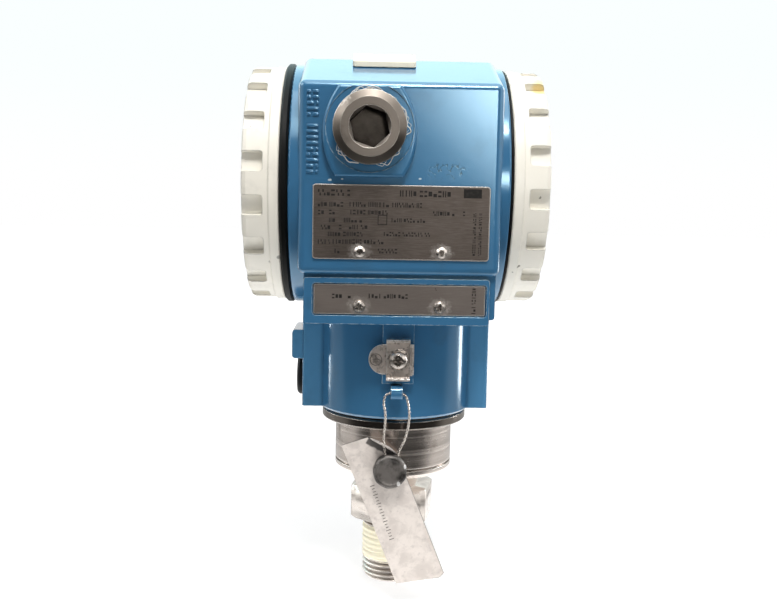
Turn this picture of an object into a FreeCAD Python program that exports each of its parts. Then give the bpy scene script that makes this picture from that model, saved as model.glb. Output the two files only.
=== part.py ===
"""Field-mount pressure transmitter, in millimetres, +Z up.

A blue die-cast housing with two round compartments, one at each end of a level cylinder, stands on a
round neck. The neck turns on a stainless sensor: an adapter, a sensor can and a threaded process
connection with a hexagon. The origin is on the process axis, at the shoulder where the thread ends under
the hexagon. The housing's cylinder lies along X, and the face with the two plates looks towards -Y.
"""
import FreeCAD, Part
import math
import os

Vector = FreeCAD.Vector

# Running, sliding and seating gaps
running_gap = 0.05
sliding_gap = 0.1
free_gap = 0.3

# How far a feature's root reaches into the body it grows from
root_depth = 3.0

# Process connection: parallel pipe thread, hexagon and stem
thread_radius = 10.478
thread_length = 22.6
thread_chamfer = 1.2
port_radius = 5.7
hex_across_flats = 27.0
hex_height = 12.0
hex_turn = 18.0
hex_chamfer = 1.0
stem_radius = 9.5
stem_length = 6.5

# Sensor can
can_radius = 20.85
can_length = 18.6
can_chamfer = 1.5
can_groove_height = 2.8
can_groove_width = 0.9
can_groove_depth = 0.7
can_floor = 4.5
chamber_radius = can_radius - 6.85
diaphragm_thickness = 0.3
cell_radius = chamber_radius - 2.0
cell_height = 8.5
cell_chamfer = 1.5

# Neck adapter, on which the housing turns
spigot_radius = 20.0
flange_radius = spigot_radius + 5.7
flange_thickness = 3.3
flange_chamfer = 0.5
collar_radius = spigot_radius + 3.6
neck_gap = 0.9
spigot_length = 21.0
spigot_chamfer = 0.6
spigot_bore_radius = spigot_radius - 3.5
spigot_throat_radius = spigot_bore_radius - 4.5
throat_height = 5.0
lead_radius = 2.0
seal_groove_above_neck = 2.8
seal_cord_radius = 1.05
seal_groove_depth = 2.4
seal_side_room = 0.35
screw_groove_above_neck = 10.7
screw_groove_half_width = 1.9
screw_groove_taper = 0.4
screw_groove_depth = 1.4
board_thickness = 1.6
socket_radius = 5.0
socket_height = 6.0
cable_plug_radius = 4.4
cable_plug_length = 3.4
cable_radius = 1.7
cable_turn_above_spigot = 0.6

# Housing, general
body_left = 32.3
body_right = 31.3
body_front = 42.0
body_bottom_below_axis = 28.0
crease_above_axis = 31.1
roof_above_axis = 41.7
roof_half_depth = 13.0
body_fillet = 2.4
ring_radius = 41.0
ring_outer_left = body_left + 3.2
ring_outer_right = body_right + 2.8
ring_fillet = 0.6

# Cover threads and compartments
cover_neck_radius = 34.5
cover_neck_length = 9.3
compartment_radius = 31.5
divider_left = 0.8
divider_right = 4.3
feedthrough_radius = 8.0

# Lower block with its two plate seats
block_half_width = body_right - 1.0
block_front = body_front - 2.5
block_bottom_below_axis = 42.0
frame_left = body_left - 2.0
frame_right = body_right - 2.9
frame_front = body_front - 1.6
frame_top_below_axis = 29.1
frame_bottom_below_axis = 43.8
block_fillet = 1.0

# Neck of the housing
neck_radius = spigot_radius + 7.3
neck_clear_length = 35.7
neck_chamfer = 0.8
neck_bore_depth = 23.2
cable_hole_x = spigot_bore_radius - 3.5
cable_hole_radius = 4.5
pad_reach = neck_radius + 5.2
pad_half_depth = 10.5
pad_inner = spigot_radius
pad_fillet = 1.2
pad_above_neck_bottom = 0.6
hood_reach = pad_reach + 3.7
hood_height = 10.2
hood_half_depth = 9.5

# Conduit bosses, front and back
conduit_x = -10.2
conduit_above_axis = 17.25
conduit_core_radius = 9.25
boss_front = body_front + 2.5
boss_fillet = 1.1
boss_spotface_radius = 13.5
boss_spotface_depth = 0.3
boss_half_top = 9.5
boss_half_bottom = 10.5
boss_half_middle = 14.55
boss_bottom_above_axis = 2.4

# Blanking plug
plug_head_radius = 11.2
plug_head_height = 5.8
plug_rim_width = 2.3
plug_rim_drop = 1.5
plug_socket_flats = 11.0
plug_socket_turn = 102.0
plug_socket_depth = 7.0
plug_socket_mouth = 6.4
plug_mouth_drop = 1.0
plug_foot_chamfer = 0.5
plug_tip_chamfer = 0.8
plug_shank_length = 13.0

# Plates
nameplate_width = 2 * body_right - 7.6
nameplate_height = 23.1
plate_thickness = 0.5
plate_corner = 1.0
pin_spacing = 25.5
pin_above_edge = 2.4
pin_head_radius = 1.75
pin_head_height = 0.9
pin_shank_radius = 0.9
pin_shank_length = 4.0
range_plate_width = nameplate_width - 0.8
range_plate_height = 9.5
range_plate_top_below_axis = 31.2
range_plate_margin = 0.35
range_seat_depth = 1.0
range_screw_above_edge = 2.6
range_screw_head_radius = 2.0
range_screw_head_height = 1.1
range_screw_shank_radius = 1.0
range_screw_length = 4.5

# Outside ground terminal
ground_x = 0.3
ground_share = 0.5854
rib_half_width = 5.2
rib_front = neck_radius + 1.9
rib_back = spigot_radius + 1.0
rib_share = 0.3557
ground_plate_thickness = 0.6
ground_plate_round = 5.0
ground_plate_left = 9.4
ground_clamp_thickness = 0.8
ground_clamp_half_height = 0.168 * neck_clear_length
ground_clamp_half_width = 3.9
ground_clamp_lip = 1.3
ground_clamp_edge = 0.3
ground_screw_head_radius = 3.05
ground_screw_head_height = 2.0
ground_screw_shank_radius = 1.9
ground_screw_length = 9.0
ground_washer_radius = 3.6
ground_washer_thickness = 0.45

# Lug, seal wire, lead seal and tag, whose corners are (across, above the lug)
lug_y = -neck_radius - 2.7
lug_share = 0.2773
lug_radius = 2.3
lug_half_width = 1.9
lug_hole_radius = 0.85
wire_radius = 0.45
lead_seal_x = -1.7
lead_seal_y = lug_y - 0.9
lead_seal_below_lug = 26.3
lead_seal_radius = 5.7
lead_seal_thickness = 4.0
lead_seal_edge = 0.6
tag_y = lug_y + 1.8
tag_thickness = 0.5
tag_hole_radius = 1.15
tag_hole_reach = 2.4
tag_tab_reach = 4.9
tag_tab_half_base = 5.2
tag_tab_half_tip = 2.2
tag_fold_angle = 70.0
tag_left_top = (-17.97, -18.56)
tag_fold_left = (-9.3, -15.7)
tag_fold_right = (0.93, -21.5)
tag_right_bottom = (17.37, -62.36)
tag_low_right = (16.0, -64.0)
tag_low_left = (1.15, -66.25)

# Covers
cover_length = 12.0
cover_radius = 39.7
cover_band_radius = 40.1
cover_band_length = 3.2
cover_band_chamfer = 0.4
cover_end_thickness = 3.0
cover_end_round = 1.6
cover_thread_gap = 0.25
notch_count = 18
notch_width = 6.4
notch_length = 6.8
notch_floor_radius = 37.0
notch_corner = 1.0
left_notch_angle = -10.2
right_notch_angle = -5.3
left_seal_width = 2.8
left_seal_radius = 41.15
right_seal_width = 1.0
right_seal_radius = 40.3
seal_bore_gap = 0.3
seal_edge_round = 0.25

# Vent
vent_above_neck_bottom = 10.0
vent_cap_radius = 7.2
vent_cap_thickness = 2.1
vent_cap_floor = 0.5
vent_cap_wall = 0.7
vent_cap_chamfer = 0.8
vent_stem_radius = 3.0
vent_stem_length = 5.0
vent_passage_radius = 1.2
membrane_radius = 4.5
membrane_thickness = 0.3

# Swivel set screw
set_screw_radius = 2.0
set_screw_point_radius = 1.1
set_screw_length = 9.5
set_screw_socket_flats = 2.0
set_screw_socket_depth = 2.0
set_screw_taper = 0.5

# Keys and their flap on the roof
key_x = -5.8
key_pitch = 7.5
key_count = 3
key_pocket_half_width = 6.5
key_pocket_half_depth = 11.8
key_pocket_depth = 2.2
key_pocket_corner = 1.5
key_panel_thickness = 0.4
key_head_radius = 2.5
key_bore_radius = 2.6
key_top_below_roof = 0.3
key_travel = 1.2
key_stop_gap = 0.2
key_head_chamfer = 0.45
key_head_length = 5.0
key_stem_radius = 1.1
key_stem_length = 1.4
spring_radius = 1.75
spring_wire_radius = 0.22
spring_turns = 3.0
flap_half_width = 10.3
flap_thickness = 1.6
flap_gap = 0.3
flap_front_y = -24.0
flap_corner = 1.2
hinge_y = 17.0
hinge_above_roof = 1.1
hinge_knuckle_radius = 1.7
hinge_pin_radius = 0.75
hinge_ear_width = 3.5

# Terminal block and what is on it
block_left = -9.0
terminal_block_half_width = 20.0
terminal_block_top_above_axis = 6.0
terminal_block_bottom_below_axis = 14.0
terminal_count = 3
terminal_pitch = 9.0
terminal_width = 6.6
terminal_depth = 6.0
terminal_chamber_height = 9.0
terminal_clamp_height = 8.0
terminal_screw_below_top = 5.0
terminal_block_corner = 2.0
terminal_clamp_thickness = 1.0
terminal_screw_radius = 1.4
terminal_head_radius = 2.6
terminal_head_height = 1.6
block_screw_offset = 17.2
block_screw_radius = 1.45
block_screw_head_radius = 2.4
block_screw_head_height = 1.6
block_screw_sink = 3.0
block_screw_below_axis = 4.0
blind_end = 1.0
inner_ground_below_axis = 22.5
inner_ground_boss_radius = 4.0
inner_ground_boss_length = 6.0
inner_ground_head_radius = 3.4
inner_ground_head_height = 2.0

# Electronics module
module_radius = 29.0
module_left = 6.5
module_length = 24.0
module_step_length = 4.0
module_step_width = 2.0
module_rim_width = 4.0
module_dish_depth = 1.0
module_boss_radius = 3.6
module_boss_offset = 21.0
module_screw_head_radius = 2.8
module_screw_head_height = 2.0
module_screw_sink = 6.0

# Derived places
can_bottom = hex_height + stem_length
can_top = can_bottom + can_length
flange_top = can_top + flange_thickness
neck_bottom = flange_top + neck_gap
block_bottom_z = neck_bottom + neck_clear_length
axis_height = block_bottom_z + block_bottom_below_axis
vent_z = neck_bottom + vent_above_neck_bottom
hood_bottom = vent_z + vent_cap_radius
lug_z = neck_bottom + lug_share * neck_clear_length
rib_bottom = neck_bottom + rib_share * neck_clear_length
ground_z = neck_bottom + ground_share * neck_clear_length
lead_seal_z = lug_z - lead_seal_below_lug
spigot_top = flange_top + spigot_length
chamber_floor = can_bottom + can_floor
throat_top = flange_top + throat_height
roof_z = axis_height + roof_above_axis
crease_z = axis_height + crease_above_axis
conduit_z = axis_height + conduit_above_axis
neck_bore_radius = spigot_radius + sliding_gap
neck_bore_top = neck_bottom + neck_bore_depth
cover_bore_radius = cover_neck_radius + cover_thread_gap
nameplate_top = axis_height
nameplate_bottom = nameplate_top - nameplate_height
range_top = axis_height - range_plate_top_below_axis
range_bottom = range_top - range_plate_height
range_seat_y = frame_front - range_seat_depth
key_top = roof_z - key_top_below_roof
key_head_bottom = key_top - key_head_length
key_bore_bottom = key_head_bottom - key_stem_length - key_travel - key_stop_gap
key_floor = roof_z - key_pocket_depth
hinge_z = roof_z + hinge_above_roof
terminal_top = axis_height + terminal_block_top_above_axis
terminal_back = block_left + terminal_depth
terminal_screw_z = terminal_top - terminal_screw_below_top
block_screw_z = axis_height - block_screw_below_axis
inner_ground_z = axis_height - inner_ground_below_axis
module_right = module_left + module_length
clamp_back = -rib_front - ground_plate_thickness
clamp_front = clamp_back - ground_clamp_thickness
roof_slope = (roof_above_axis - crease_above_axis) / (body_front - roof_half_depth)


def block(x0, x1, y0, y1, z0, z1):
    """A box between two corners."""
    return Part.makeBox(x1 - x0, y1 - y0, z1 - z0, Vector(x0, y0, z0))


def rod(axis, radius, start, end, first, second):
    """A cylinder along x, y or z; first and second are its other two coordinates, in that order."""
    if axis == "x":
        return Part.makeCylinder(radius, end - start, Vector(start, first, second), Vector(1, 0, 0))
    if axis == "y":
        return Part.makeCylinder(radius, end - start, Vector(first, start, second), Vector(0, 1, 0))
    return Part.makeCylinder(radius, end - start, Vector(first, second, start), Vector(0, 0, 1))


def turned(outline):
    """Turns an outline of (radius, height) points round the Z axis."""
    points = [Vector(radius, 0, height) for radius, height in outline]
    face = Part.Face(Part.makePolygon(points + points[:1]))
    return face.revolve(Vector(0, 0, 0), Vector(0, 0, 1), 360)


def placed(shape, point, direction):
    """Moves a shape that stands on the origin along +Z to a point, aimed in a direction."""
    moved = shape.copy()
    moved.Placement = FreeCAD.Placement(Vector(*point), FreeCAD.Rotation(Vector(0, 0, 1), Vector(*direction)))
    return moved


def profile_x(points, x0, x1):
    """Extrudes an outline of (y, z) points from x0 to x1."""
    corners = [Vector(x0, y, z) for y, z in points]
    return Part.Face(Part.makePolygon(corners + corners[:1])).extrude(Vector(x1 - x0, 0, 0))


def profile_y(points, y0, y1):
    """Extrudes an outline of (x, z) points from y0 to y1."""
    corners = [Vector(x, y0, z) for x, z in points]
    return Part.Face(Part.makePolygon(corners + corners[:1])).extrude(Vector(0, y1 - y0, 0))


def edges_along(shape, direction):
    """The straight edges of a shape that run along a direction."""
    found = []
    for edge in shape.Edges:
        if len(edge.Vertexes) == 2 and edge.Curve.TypeId == "Part::GeomLine":
            run = (edge.Vertexes[1].Point - edge.Vertexes[0].Point).normalize()
            if abs(abs(run.dot(Vector(*direction))) - 1) < 1e-6:
                found.append(edge)
    return found


def rounded_block(x0, x1, y0, y1, z0, z1, radius, direction):
    """A box with its edges along one direction rounded."""
    shape = block(x0, x1, y0, y1, z0, z1)
    return shape.makeFillet(radius, edges_along(shape, direction))


def hexagon(across_flats, height, turn=0.0):
    """A hexagonal prism on the origin, with a corner turned from +X by an angle."""
    corner_radius = across_flats / math.sqrt(3)
    corners = []
    for corner in range(6):
        angle = math.radians(60 * corner + turn)
        corners.append(Vector(corner_radius * math.cos(angle), corner_radius * math.sin(angle), 0))
    return Part.Face(Part.makePolygon(corners + corners[:1])).extrude(Vector(0, 0, height))


def cross_recess(width, length, top, depth):
    """The cross of a screwdriver recess, cut down from a head's top."""
    one = block(-length / 2, length / 2, -width / 2, width / 2, top - depth, top + 1)
    other = block(-width / 2, width / 2, -length / 2, length / 2, top - depth, top + 1)
    return one.fuse(other)


def pan_screw(head_radius, head_height, shank_radius, length):
    """A cross-head pan screw with its head's seat on the origin and its shank along -Z."""
    outline = [(0, head_height), (0.55 * head_radius, head_height), (0.86 * head_radius, 0.72 * head_height),
               (head_radius, 0.3 * head_height), (head_radius, 0), (shank_radius, 0),
               (shank_radius, 0.4 * shank_radius - length), (0.6 * shank_radius, -length), (0, -length)]
    recess = cross_recess(0.28 * head_radius, 1.25 * head_radius, head_height, 0.62 * head_height)
    return turned(outline).cut(recess)


def save(name, shape):
    """Writes a node's STEP file and prints what it holds."""
    volume = sum(solid.Volume for solid in shape.Solids)
    print(f"{name}: {len(shape.Solids)} solid(s), {volume:.1f} mm3, valid {shape.isValid()}")
    shape.exportStep(f"parts/{name}.step")


def process_connection():
    """Threaded stub, hexagon and stem, turned from one bar, with the pressure port through it."""
    stub = turned([(0, -thread_length), (thread_radius - thread_chamfer, -thread_length),
                   (thread_radius, thread_chamfer - thread_length), (thread_radius, 0), (0, 0)])
    nut = hexagon(hex_across_flats, hex_height, hex_turn)
    corner_radius = hex_across_flats / math.sqrt(3)
    drop = hex_chamfer * math.tan(math.radians(30))
    envelope = turned([(0, 0), (corner_radius - hex_chamfer, 0), (corner_radius, drop),
                       (corner_radius, hex_height - drop), (corner_radius - hex_chamfer, hex_height),
                       (0, hex_height)])
    stem = rod("z", stem_radius, hex_height, can_bottom, 0, 0)
    port = rod("z", port_radius, -thread_length - 1, can_bottom + 1, 0, 0)
    return stub.fuse([nut.common(envelope), stem]).cut(port).removeSplitter()


def sensor_can():
    """Cup that holds the pressure cell, with a groove above its chamfered foot."""
    groove_low = can_bottom + can_groove_height
    groove_high = groove_low + can_groove_width
    waist = can_radius - can_groove_depth
    cup = turned([(port_radius, can_bottom), (can_radius - can_chamfer, can_bottom),
                  (can_radius, can_bottom + can_chamfer), (can_radius, groove_low), (waist, groove_low),
                  (waist, groove_high), (can_radius, groove_high), (can_radius, can_top),
                  (chamber_radius, can_top), (chamber_radius, chamber_floor), (port_radius, chamber_floor)])
    return cup


def neck_adapter():
    """Flange on the can and spigot in the housing's neck, with grooves for the seal and the set screw."""
    seal_middle = neck_bottom + seal_groove_above_neck
    seal_half = seal_cord_radius + seal_side_room
    seal_floor = spigot_radius - seal_groove_depth
    screw_middle = neck_bottom + screw_groove_above_neck
    screw_floor = spigot_radius - screw_groove_depth
    screw_half = screw_groove_half_width
    outline = [(lead_radius + free_gap, can_top), (flange_radius - flange_chamfer, can_top),
               (flange_radius, can_top + flange_chamfer), (flange_radius, flange_top - flange_chamfer),
               (flange_radius - flange_chamfer, flange_top), (collar_radius, flange_top),
               (collar_radius, flange_top + neck_gap / 2), (spigot_radius, flange_top + neck_gap / 2),
               (spigot_radius, seal_middle - seal_half), (seal_floor, seal_middle - seal_half),
               (seal_floor, seal_middle + seal_half), (spigot_radius, seal_middle + seal_half),
               (spigot_radius, screw_middle - screw_half),
               (screw_floor, screw_middle - screw_half + screw_groove_taper),
               (screw_floor, screw_middle + screw_half - screw_groove_taper),
               (spigot_radius, screw_middle + screw_half),
               (spigot_radius, spigot_top - spigot_chamfer), (spigot_radius - spigot_chamfer, spigot_top),
               (spigot_bore_radius, spigot_top), (spigot_bore_radius, throat_top),
               (spigot_throat_radius, throat_top), (spigot_throat_radius, flange_top),
               (lead_radius + free_gap, flange_top)]
    return turned(outline)


def neck_seal():
    """O-ring in the spigot's groove."""
    middle = neck_bottom + seal_groove_above_neck
    major = spigot_radius - seal_groove_depth + seal_cord_radius + running_gap
    return Part.makeTorus(major, seal_cord_radius, Vector(0, 0, middle))


def isolating_diaphragm():
    """Thin disc over the pressure port, which the process medium presses on."""
    radius = chamber_radius - running_gap
    return rod("z", radius, chamber_floor, chamber_floor + diaphragm_thickness, 0, 0)


def pressure_cell():
    """Measuring cell on the diaphragm."""
    bottom = chamber_floor + diaphragm_thickness
    top = bottom + cell_height
    return turned([(0, bottom), (cell_radius, bottom), (cell_radius, top - cell_chamfer),
                   (cell_radius - cell_chamfer, top), (0, top)])


def sensor_leads():
    """Bundle of leads from the cell up to the board."""
    bottom = chamber_floor + diaphragm_thickness + cell_height
    return rod("z", lead_radius, bottom, throat_top, 0, 0)


def sensor_board():
    """Round circuit board on the shoulder inside the spigot."""
    return rod("z", spigot_bore_radius - sliding_gap, throat_top, throat_top + board_thickness, 0, 0)


def sensor_socket():
    """Round socket on the board, on the swivel's own axis."""
    bottom = throat_top + board_thickness
    return rod("z", socket_radius, bottom, bottom + socket_height, 0, 0)


def sensor_cable():
    """Cable from the plug over the socket, up through the neck, to the electronics module."""
    start = throat_top + board_thickness + socket_height + free_gap
    low = start + cable_plug_length
    plug = rod("z", cable_plug_radius, start, low, 0, 0)
    top = axis_height - module_radius - running_gap
    path = [Vector(0, 0, low - 0.5), Vector(0, 0, low + cable_radius),
            Vector(cable_hole_x, 0, spigot_top + cable_turn_above_spigot), Vector(cable_hole_x, 0, top)]
    return plug.fuse(tube(path, cable_radius)).removeSplitter()


def tube(points, radius, report=None):
    """A tube along straight runs joined by tangent arcs, each as large as its runs allow."""
    edges = []
    here = points[0]
    radii = []
    for index in range(1, len(points) - 1):
        corner = points[index]
        back = points[index - 1] - corner
        ahead = points[index + 1] - corner
        turn = math.pi - back.getAngle(ahead)
        reach = 0.45 * min(back.Length, ahead.Length)
        radii.append(reach / math.tan(turn / 2))
        back.normalize()
        ahead.normalize()
        start = corner + back * reach
        end = corner + ahead * reach
        inward = (back + ahead).normalize()
        middle = corner + inward * (radii[-1] / math.cos(turn / 2) - radii[-1])
        edges.append(Part.LineSegment(here, start).toShape())
        edges.append(Part.Arc(start, middle, end).toShape())
        here = end
    edges.append(Part.LineSegment(here, points[-1]).toShape())
    spine = Part.Wire(edges)
    direction = (points[1] - points[0]).normalize()
    section = Part.Wire(Part.makeCircle(radius, points[0], direction))
    shape = spine.makePipeShell([section], True, False)
    if report:
        expected = math.pi * radius ** 2 * spine.Length
        print(f"{report}: radii {[round(value, 1) for value in radii]}, length {spine.Length:.1f} mm,"
              f" volume {shape.Volume:.1f} of {expected:.1f} mm3")
    return shape


def boss_outline(side):
    """Barrel-shaped conduit boss on the front (side -1) or the back (side 1) of the body."""
    bottom = axis_height + boss_bottom_above_axis
    top = crease_z - (boss_front - body_front) * roof_slope
    middle = (bottom + top) / 2
    y0 = side * (body_front - root_depth)
    y1 = side * boss_front
    corners = [Vector(conduit_x - boss_half_top, y0, top), Vector(conduit_x - boss_half_bottom, y0, bottom),
               Vector(conduit_x + boss_half_bottom, y0, bottom), Vector(conduit_x + boss_half_top, y0, top)]
    left = Part.Arc(corners[0], Vector(conduit_x - boss_half_middle, y0, middle), corners[1]).toShape()
    right = Part.Arc(corners[2], Vector(conduit_x + boss_half_middle, y0, middle), corners[3]).toShape()
    outline = Part.Wire([left, Part.LineSegment(corners[1], corners[2]).toShape(), right,
                         Part.LineSegment(corners[3], corners[0]).toShape()])
    boss = Part.Face(outline).extrude(Vector(0, y1 - y0, 0))
    rim = [edge for edge in boss.Edges if all(abs(vertex.Y - y1) < 1e-6 for vertex in edge.Vertexes)]
    return boss.makeFillet(boss_fillet, rim)


def housing():
    """Die-cast housing: body with a roof, end rings, cover necks, plate seats, conduit bosses and neck."""
    bottom = axis_height - body_bottom_below_axis
    body = profile_x([(-body_front, bottom), (-body_front, crease_z), (-roof_half_depth, roof_z),
                      (roof_half_depth, roof_z), (body_front, crease_z), (body_front, bottom)],
                     -body_left, body_right)
    body = body.makeFillet(body_fillet, body.Edges)
    lower = rounded_block(-block_half_width, block_half_width, -block_front, block_front,
                          block_bottom_z, bottom + root_depth, block_fillet, (0, 1, 0))
    frame = rounded_block(-frame_left, frame_right, -frame_front, block_front,
                          axis_height - frame_bottom_below_axis, axis_height - frame_top_below_axis,
                          block_fillet, (0, 1, 0))
    left_ring = rod("x", ring_radius, -ring_outer_left, -body_left + root_depth, 0, axis_height)
    right_ring = rod("x", ring_radius, body_right - root_depth, ring_outer_right, 0, axis_height)
    left_ring = left_ring.makeFillet(ring_fillet, [left_ring.Edges[0], left_ring.Edges[2]])
    right_ring = right_ring.makeFillet(ring_fillet, [right_ring.Edges[0], right_ring.Edges[2]])
    necks = rod("x", cover_neck_radius, -ring_outer_left - cover_neck_length,
                ring_outer_right + cover_neck_length, 0, axis_height)
    neck = turned([(0, neck_bottom), (neck_radius - neck_chamfer, neck_bottom),
                   (neck_radius, neck_bottom + neck_chamfer), (neck_radius, bottom), (0, bottom)])
    pad_bottom = neck_bottom + pad_above_neck_bottom
    left_pad = rounded_block(-pad_reach, -pad_inner, -pad_half_depth, pad_half_depth, pad_bottom,
                             block_bottom_z, pad_fillet, (0, 0, 1))
    right_pad = rounded_block(pad_inner, pad_reach, -pad_half_depth, pad_half_depth, pad_bottom,
                              block_bottom_z, pad_fillet, (0, 0, 1))
    hood = rounded_block(-hood_reach, -pad_reach + root_depth, -hood_half_depth, hood_half_depth, hood_bottom,
                         hood_bottom + hood_height, pad_fillet, (0, 1, 0))
    rib = block(ground_x - rib_half_width, ground_x + rib_half_width, -rib_front, -rib_back,
                rib_bottom, block_bottom_z)
    lug = rod("x", lug_radius, -lug_half_width, lug_half_width, lug_y, lug_z)
    lug_root = block(-lug_half_width, lug_half_width, lug_y, -neck_radius + root_depth, lug_z - lug_radius,
                     lug_z + lug_radius)
    ears = []
    for ear_start in (key_x - flap_half_width, key_x + flap_half_width - hinge_ear_width):
        ear = rod("x", hinge_knuckle_radius, ear_start, ear_start + hinge_ear_width, hinge_y, hinge_z)
        foot = block(ear_start, ear_start + hinge_ear_width, hinge_y - hinge_knuckle_radius,
                     hinge_y + hinge_knuckle_radius, roof_z - root_depth, hinge_z)
        ears.append(ear.fuse(foot))
    shape = body.fuse([lower, frame, left_ring, right_ring, necks, neck, left_pad, right_pad, hood, rib,
                       lug, lug_root, boss_outline(-1), boss_outline(1)] + ears)
    cuts = [rod("x", compartment_radius, -ring_outer_left - cover_neck_length - 1, divider_left, 0,
                axis_height),
            rod("x", compartment_radius, divider_right, ring_outer_right + cover_neck_length + 1, 0,
                axis_height),
            rod("x", feedthrough_radius, divider_left - 1, divider_right + 1, 0, axis_height),
            rod("y", conduit_core_radius, -boss_front - 1, boss_front + 1, conduit_x, conduit_z),
            rod("z", neck_bore_radius, neck_bottom - 1, neck_bore_top, 0, 0),
            rod("z", cable_hole_radius, neck_bore_top - 1, axis_height - compartment_radius + root_depth,
                cable_hole_x, 0),
            rod("x", vent_stem_radius + running_gap, -pad_reach - 1, -pad_reach + vent_stem_length + 1, 0,
                vent_z),
            rod("x", vent_passage_radius, -pad_reach, 0, 0, vent_z),
            rod("x", set_screw_radius + running_gap, spigot_radius - 2, pad_reach + 1, 0,
                neck_bottom + screw_groove_above_neck),
            rod("x", lug_hole_radius, -lug_half_width - 1, lug_half_width + 1, lug_y, lug_z),
            rod("x", hinge_pin_radius + running_gap, key_x - flap_half_width - 1, key_x + flap_half_width + 1,
                hinge_y, hinge_z),
            rod("y", ground_screw_shank_radius + running_gap, -rib_front - 1,
                -rib_front + ground_screw_length, ground_x, ground_z)]
    for side in (-1, 1):
        face_y = side * (boss_front - boss_spotface_depth)
        cuts.append(rod("y", boss_spotface_radius, min(face_y, side * (boss_front + 1)),
                        max(face_y, side * (boss_front + 1)), conduit_x, conduit_z))
    seat_half = range_plate_width / 2 + range_plate_margin
    cuts.append(rounded_block(-seat_half, seat_half, -frame_front - 1, -range_seat_y,
                              range_bottom - range_plate_margin, range_top + range_plate_margin,
                              plate_corner, (0, 1, 0)))
    for side in (-1, 1):
        x = side * pin_spacing / 2
        cuts.append(rod("y", pin_shank_radius + running_gap, -body_front - 1,
                        -body_front + pin_shank_length + 1, x, nameplate_bottom + pin_above_edge))
        cuts.append(rod("y", range_screw_shank_radius + running_gap, -frame_front - 1,
                        -range_seat_y + range_screw_length + 1, x, range_bottom + range_screw_above_edge))
        cuts.append(rod("x", block_screw_radius + running_gap, divider_left - 1,
                        divider_right - blind_end / 2,
                        side * block_screw_offset, block_screw_z))
        cuts.append(rod("x", block_screw_radius + running_gap, divider_left + blind_end / 2, module_left + 1,
                        side * module_boss_offset, axis_height))
    cuts.append(rounded_block(key_x - key_pocket_half_width, key_x + key_pocket_half_width,
                              -key_pocket_half_depth, key_pocket_half_depth, key_floor, roof_z + 1,
                              key_pocket_corner, (0, 0, 1)))
    for index in range(key_count):
        cuts.append(rod("z", key_bore_radius, key_bore_bottom, roof_z, key_x, key_y(index)))
    bosses = []
    for side in (-1, 1):
        y = side * module_boss_offset
        boss = rod("x", module_boss_radius, divider_right - blind_end / 2, module_left, y, axis_height)
        hole = rod("x", block_screw_radius + running_gap, divider_left + blind_end / 2, module_left + 1, y,
                   axis_height)
        bosses.append(boss.cut(hole))
    ground_start = divider_left - inner_ground_boss_length
    ground_boss = rod("x", inner_ground_boss_radius, ground_start, divider_left + blind_end / 2, 0,
                      inner_ground_z)
    ground_hole = rod("x", block_screw_radius + running_gap, ground_start - 1, divider_left + 1, 0,
                      inner_ground_z)
    bosses.append(ground_boss.cut(ground_hole))
    return shape.cut(cuts).fuse(bosses).removeSplitter()


def cover(side):
    """Screw-on cover, open towards the body, with notches round its rim. side is -1 left or 1 right."""
    inner, end = cover_span(side)
    shell = turned([(0, 0), (0, cover_length), (cover_radius - cover_end_round, cover_length),
                    (cover_radius - 0.3 * cover_end_round, cover_length - 0.3 * cover_end_round),
                    (cover_radius, cover_length - cover_end_round),
                    (cover_radius, cover_band_length + cover_band_chamfer),
                    (cover_band_radius, cover_band_length), (cover_band_radius, cover_band_chamfer),
                    (cover_band_radius - cover_band_chamfer, 0)])
    hollow = rod("z", cover_bore_radius, -1, cover_length - cover_end_thickness, 0, 0)
    shell = shell.cut(hollow)
    first = left_notch_angle if side < 0 else right_notch_angle
    notches = []
    for index in range(notch_count):
        notch = rounded_block(notch_floor_radius, cover_band_radius + 2, -notch_width / 2, notch_width / 2,
                              cover_length - notch_length, cover_length + 2 * notch_corner,
                              notch_corner, (1, 0, 0))
        angle = notch_turn(side, first + index * 360 / notch_count)
        notches.append(notch.rotated(Vector(0, 0, 0), Vector(0, 0, 1), angle))
    shell = shell.cut(notches)
    return placed(shell, (inner, 0, axis_height), (side, 0, 0))


def cover_span(side):
    """The inner edge and the outer end of a cover, along X."""
    if side < 0:
        inner = -ring_outer_left - left_seal_width
        return inner, inner - cover_length
    inner = ring_outer_right + right_seal_width
    return inner, inner + cover_length


def notch_turn(side, above_front):
    """Turn of a notch about the cover's own axis for an angle above the front direction."""
    rotation = FreeCAD.Rotation(Vector(0, 0, 1), Vector(side, 0, 0))
    angle = math.radians(above_front)
    wanted = Vector(0, -math.cos(angle), math.sin(angle))
    local = rotation.inverted().multVec(wanted)
    return math.degrees(math.atan2(local.y, local.x))


def cover_seal(side):
    """Flat rubber ring round the cover neck, between the end ring and the cover."""
    if side < 0:
        start, end, outer = -ring_outer_left - left_seal_width, -ring_outer_left, left_seal_radius
    else:
        start, end, outer = ring_outer_right, ring_outer_right + right_seal_width, right_seal_radius
    bulge = seal_edge_round * (end - start)
    inner = cover_neck_radius + seal_bore_gap
    outline = [(inner, 0), (outer - bulge, 0), (outer, bulge), (outer, end - start - bulge),
               (outer - bulge, end - start), (inner, end - start)]
    return placed(turned(outline), (start, 0, axis_height), (1, 0, 0))


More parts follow.
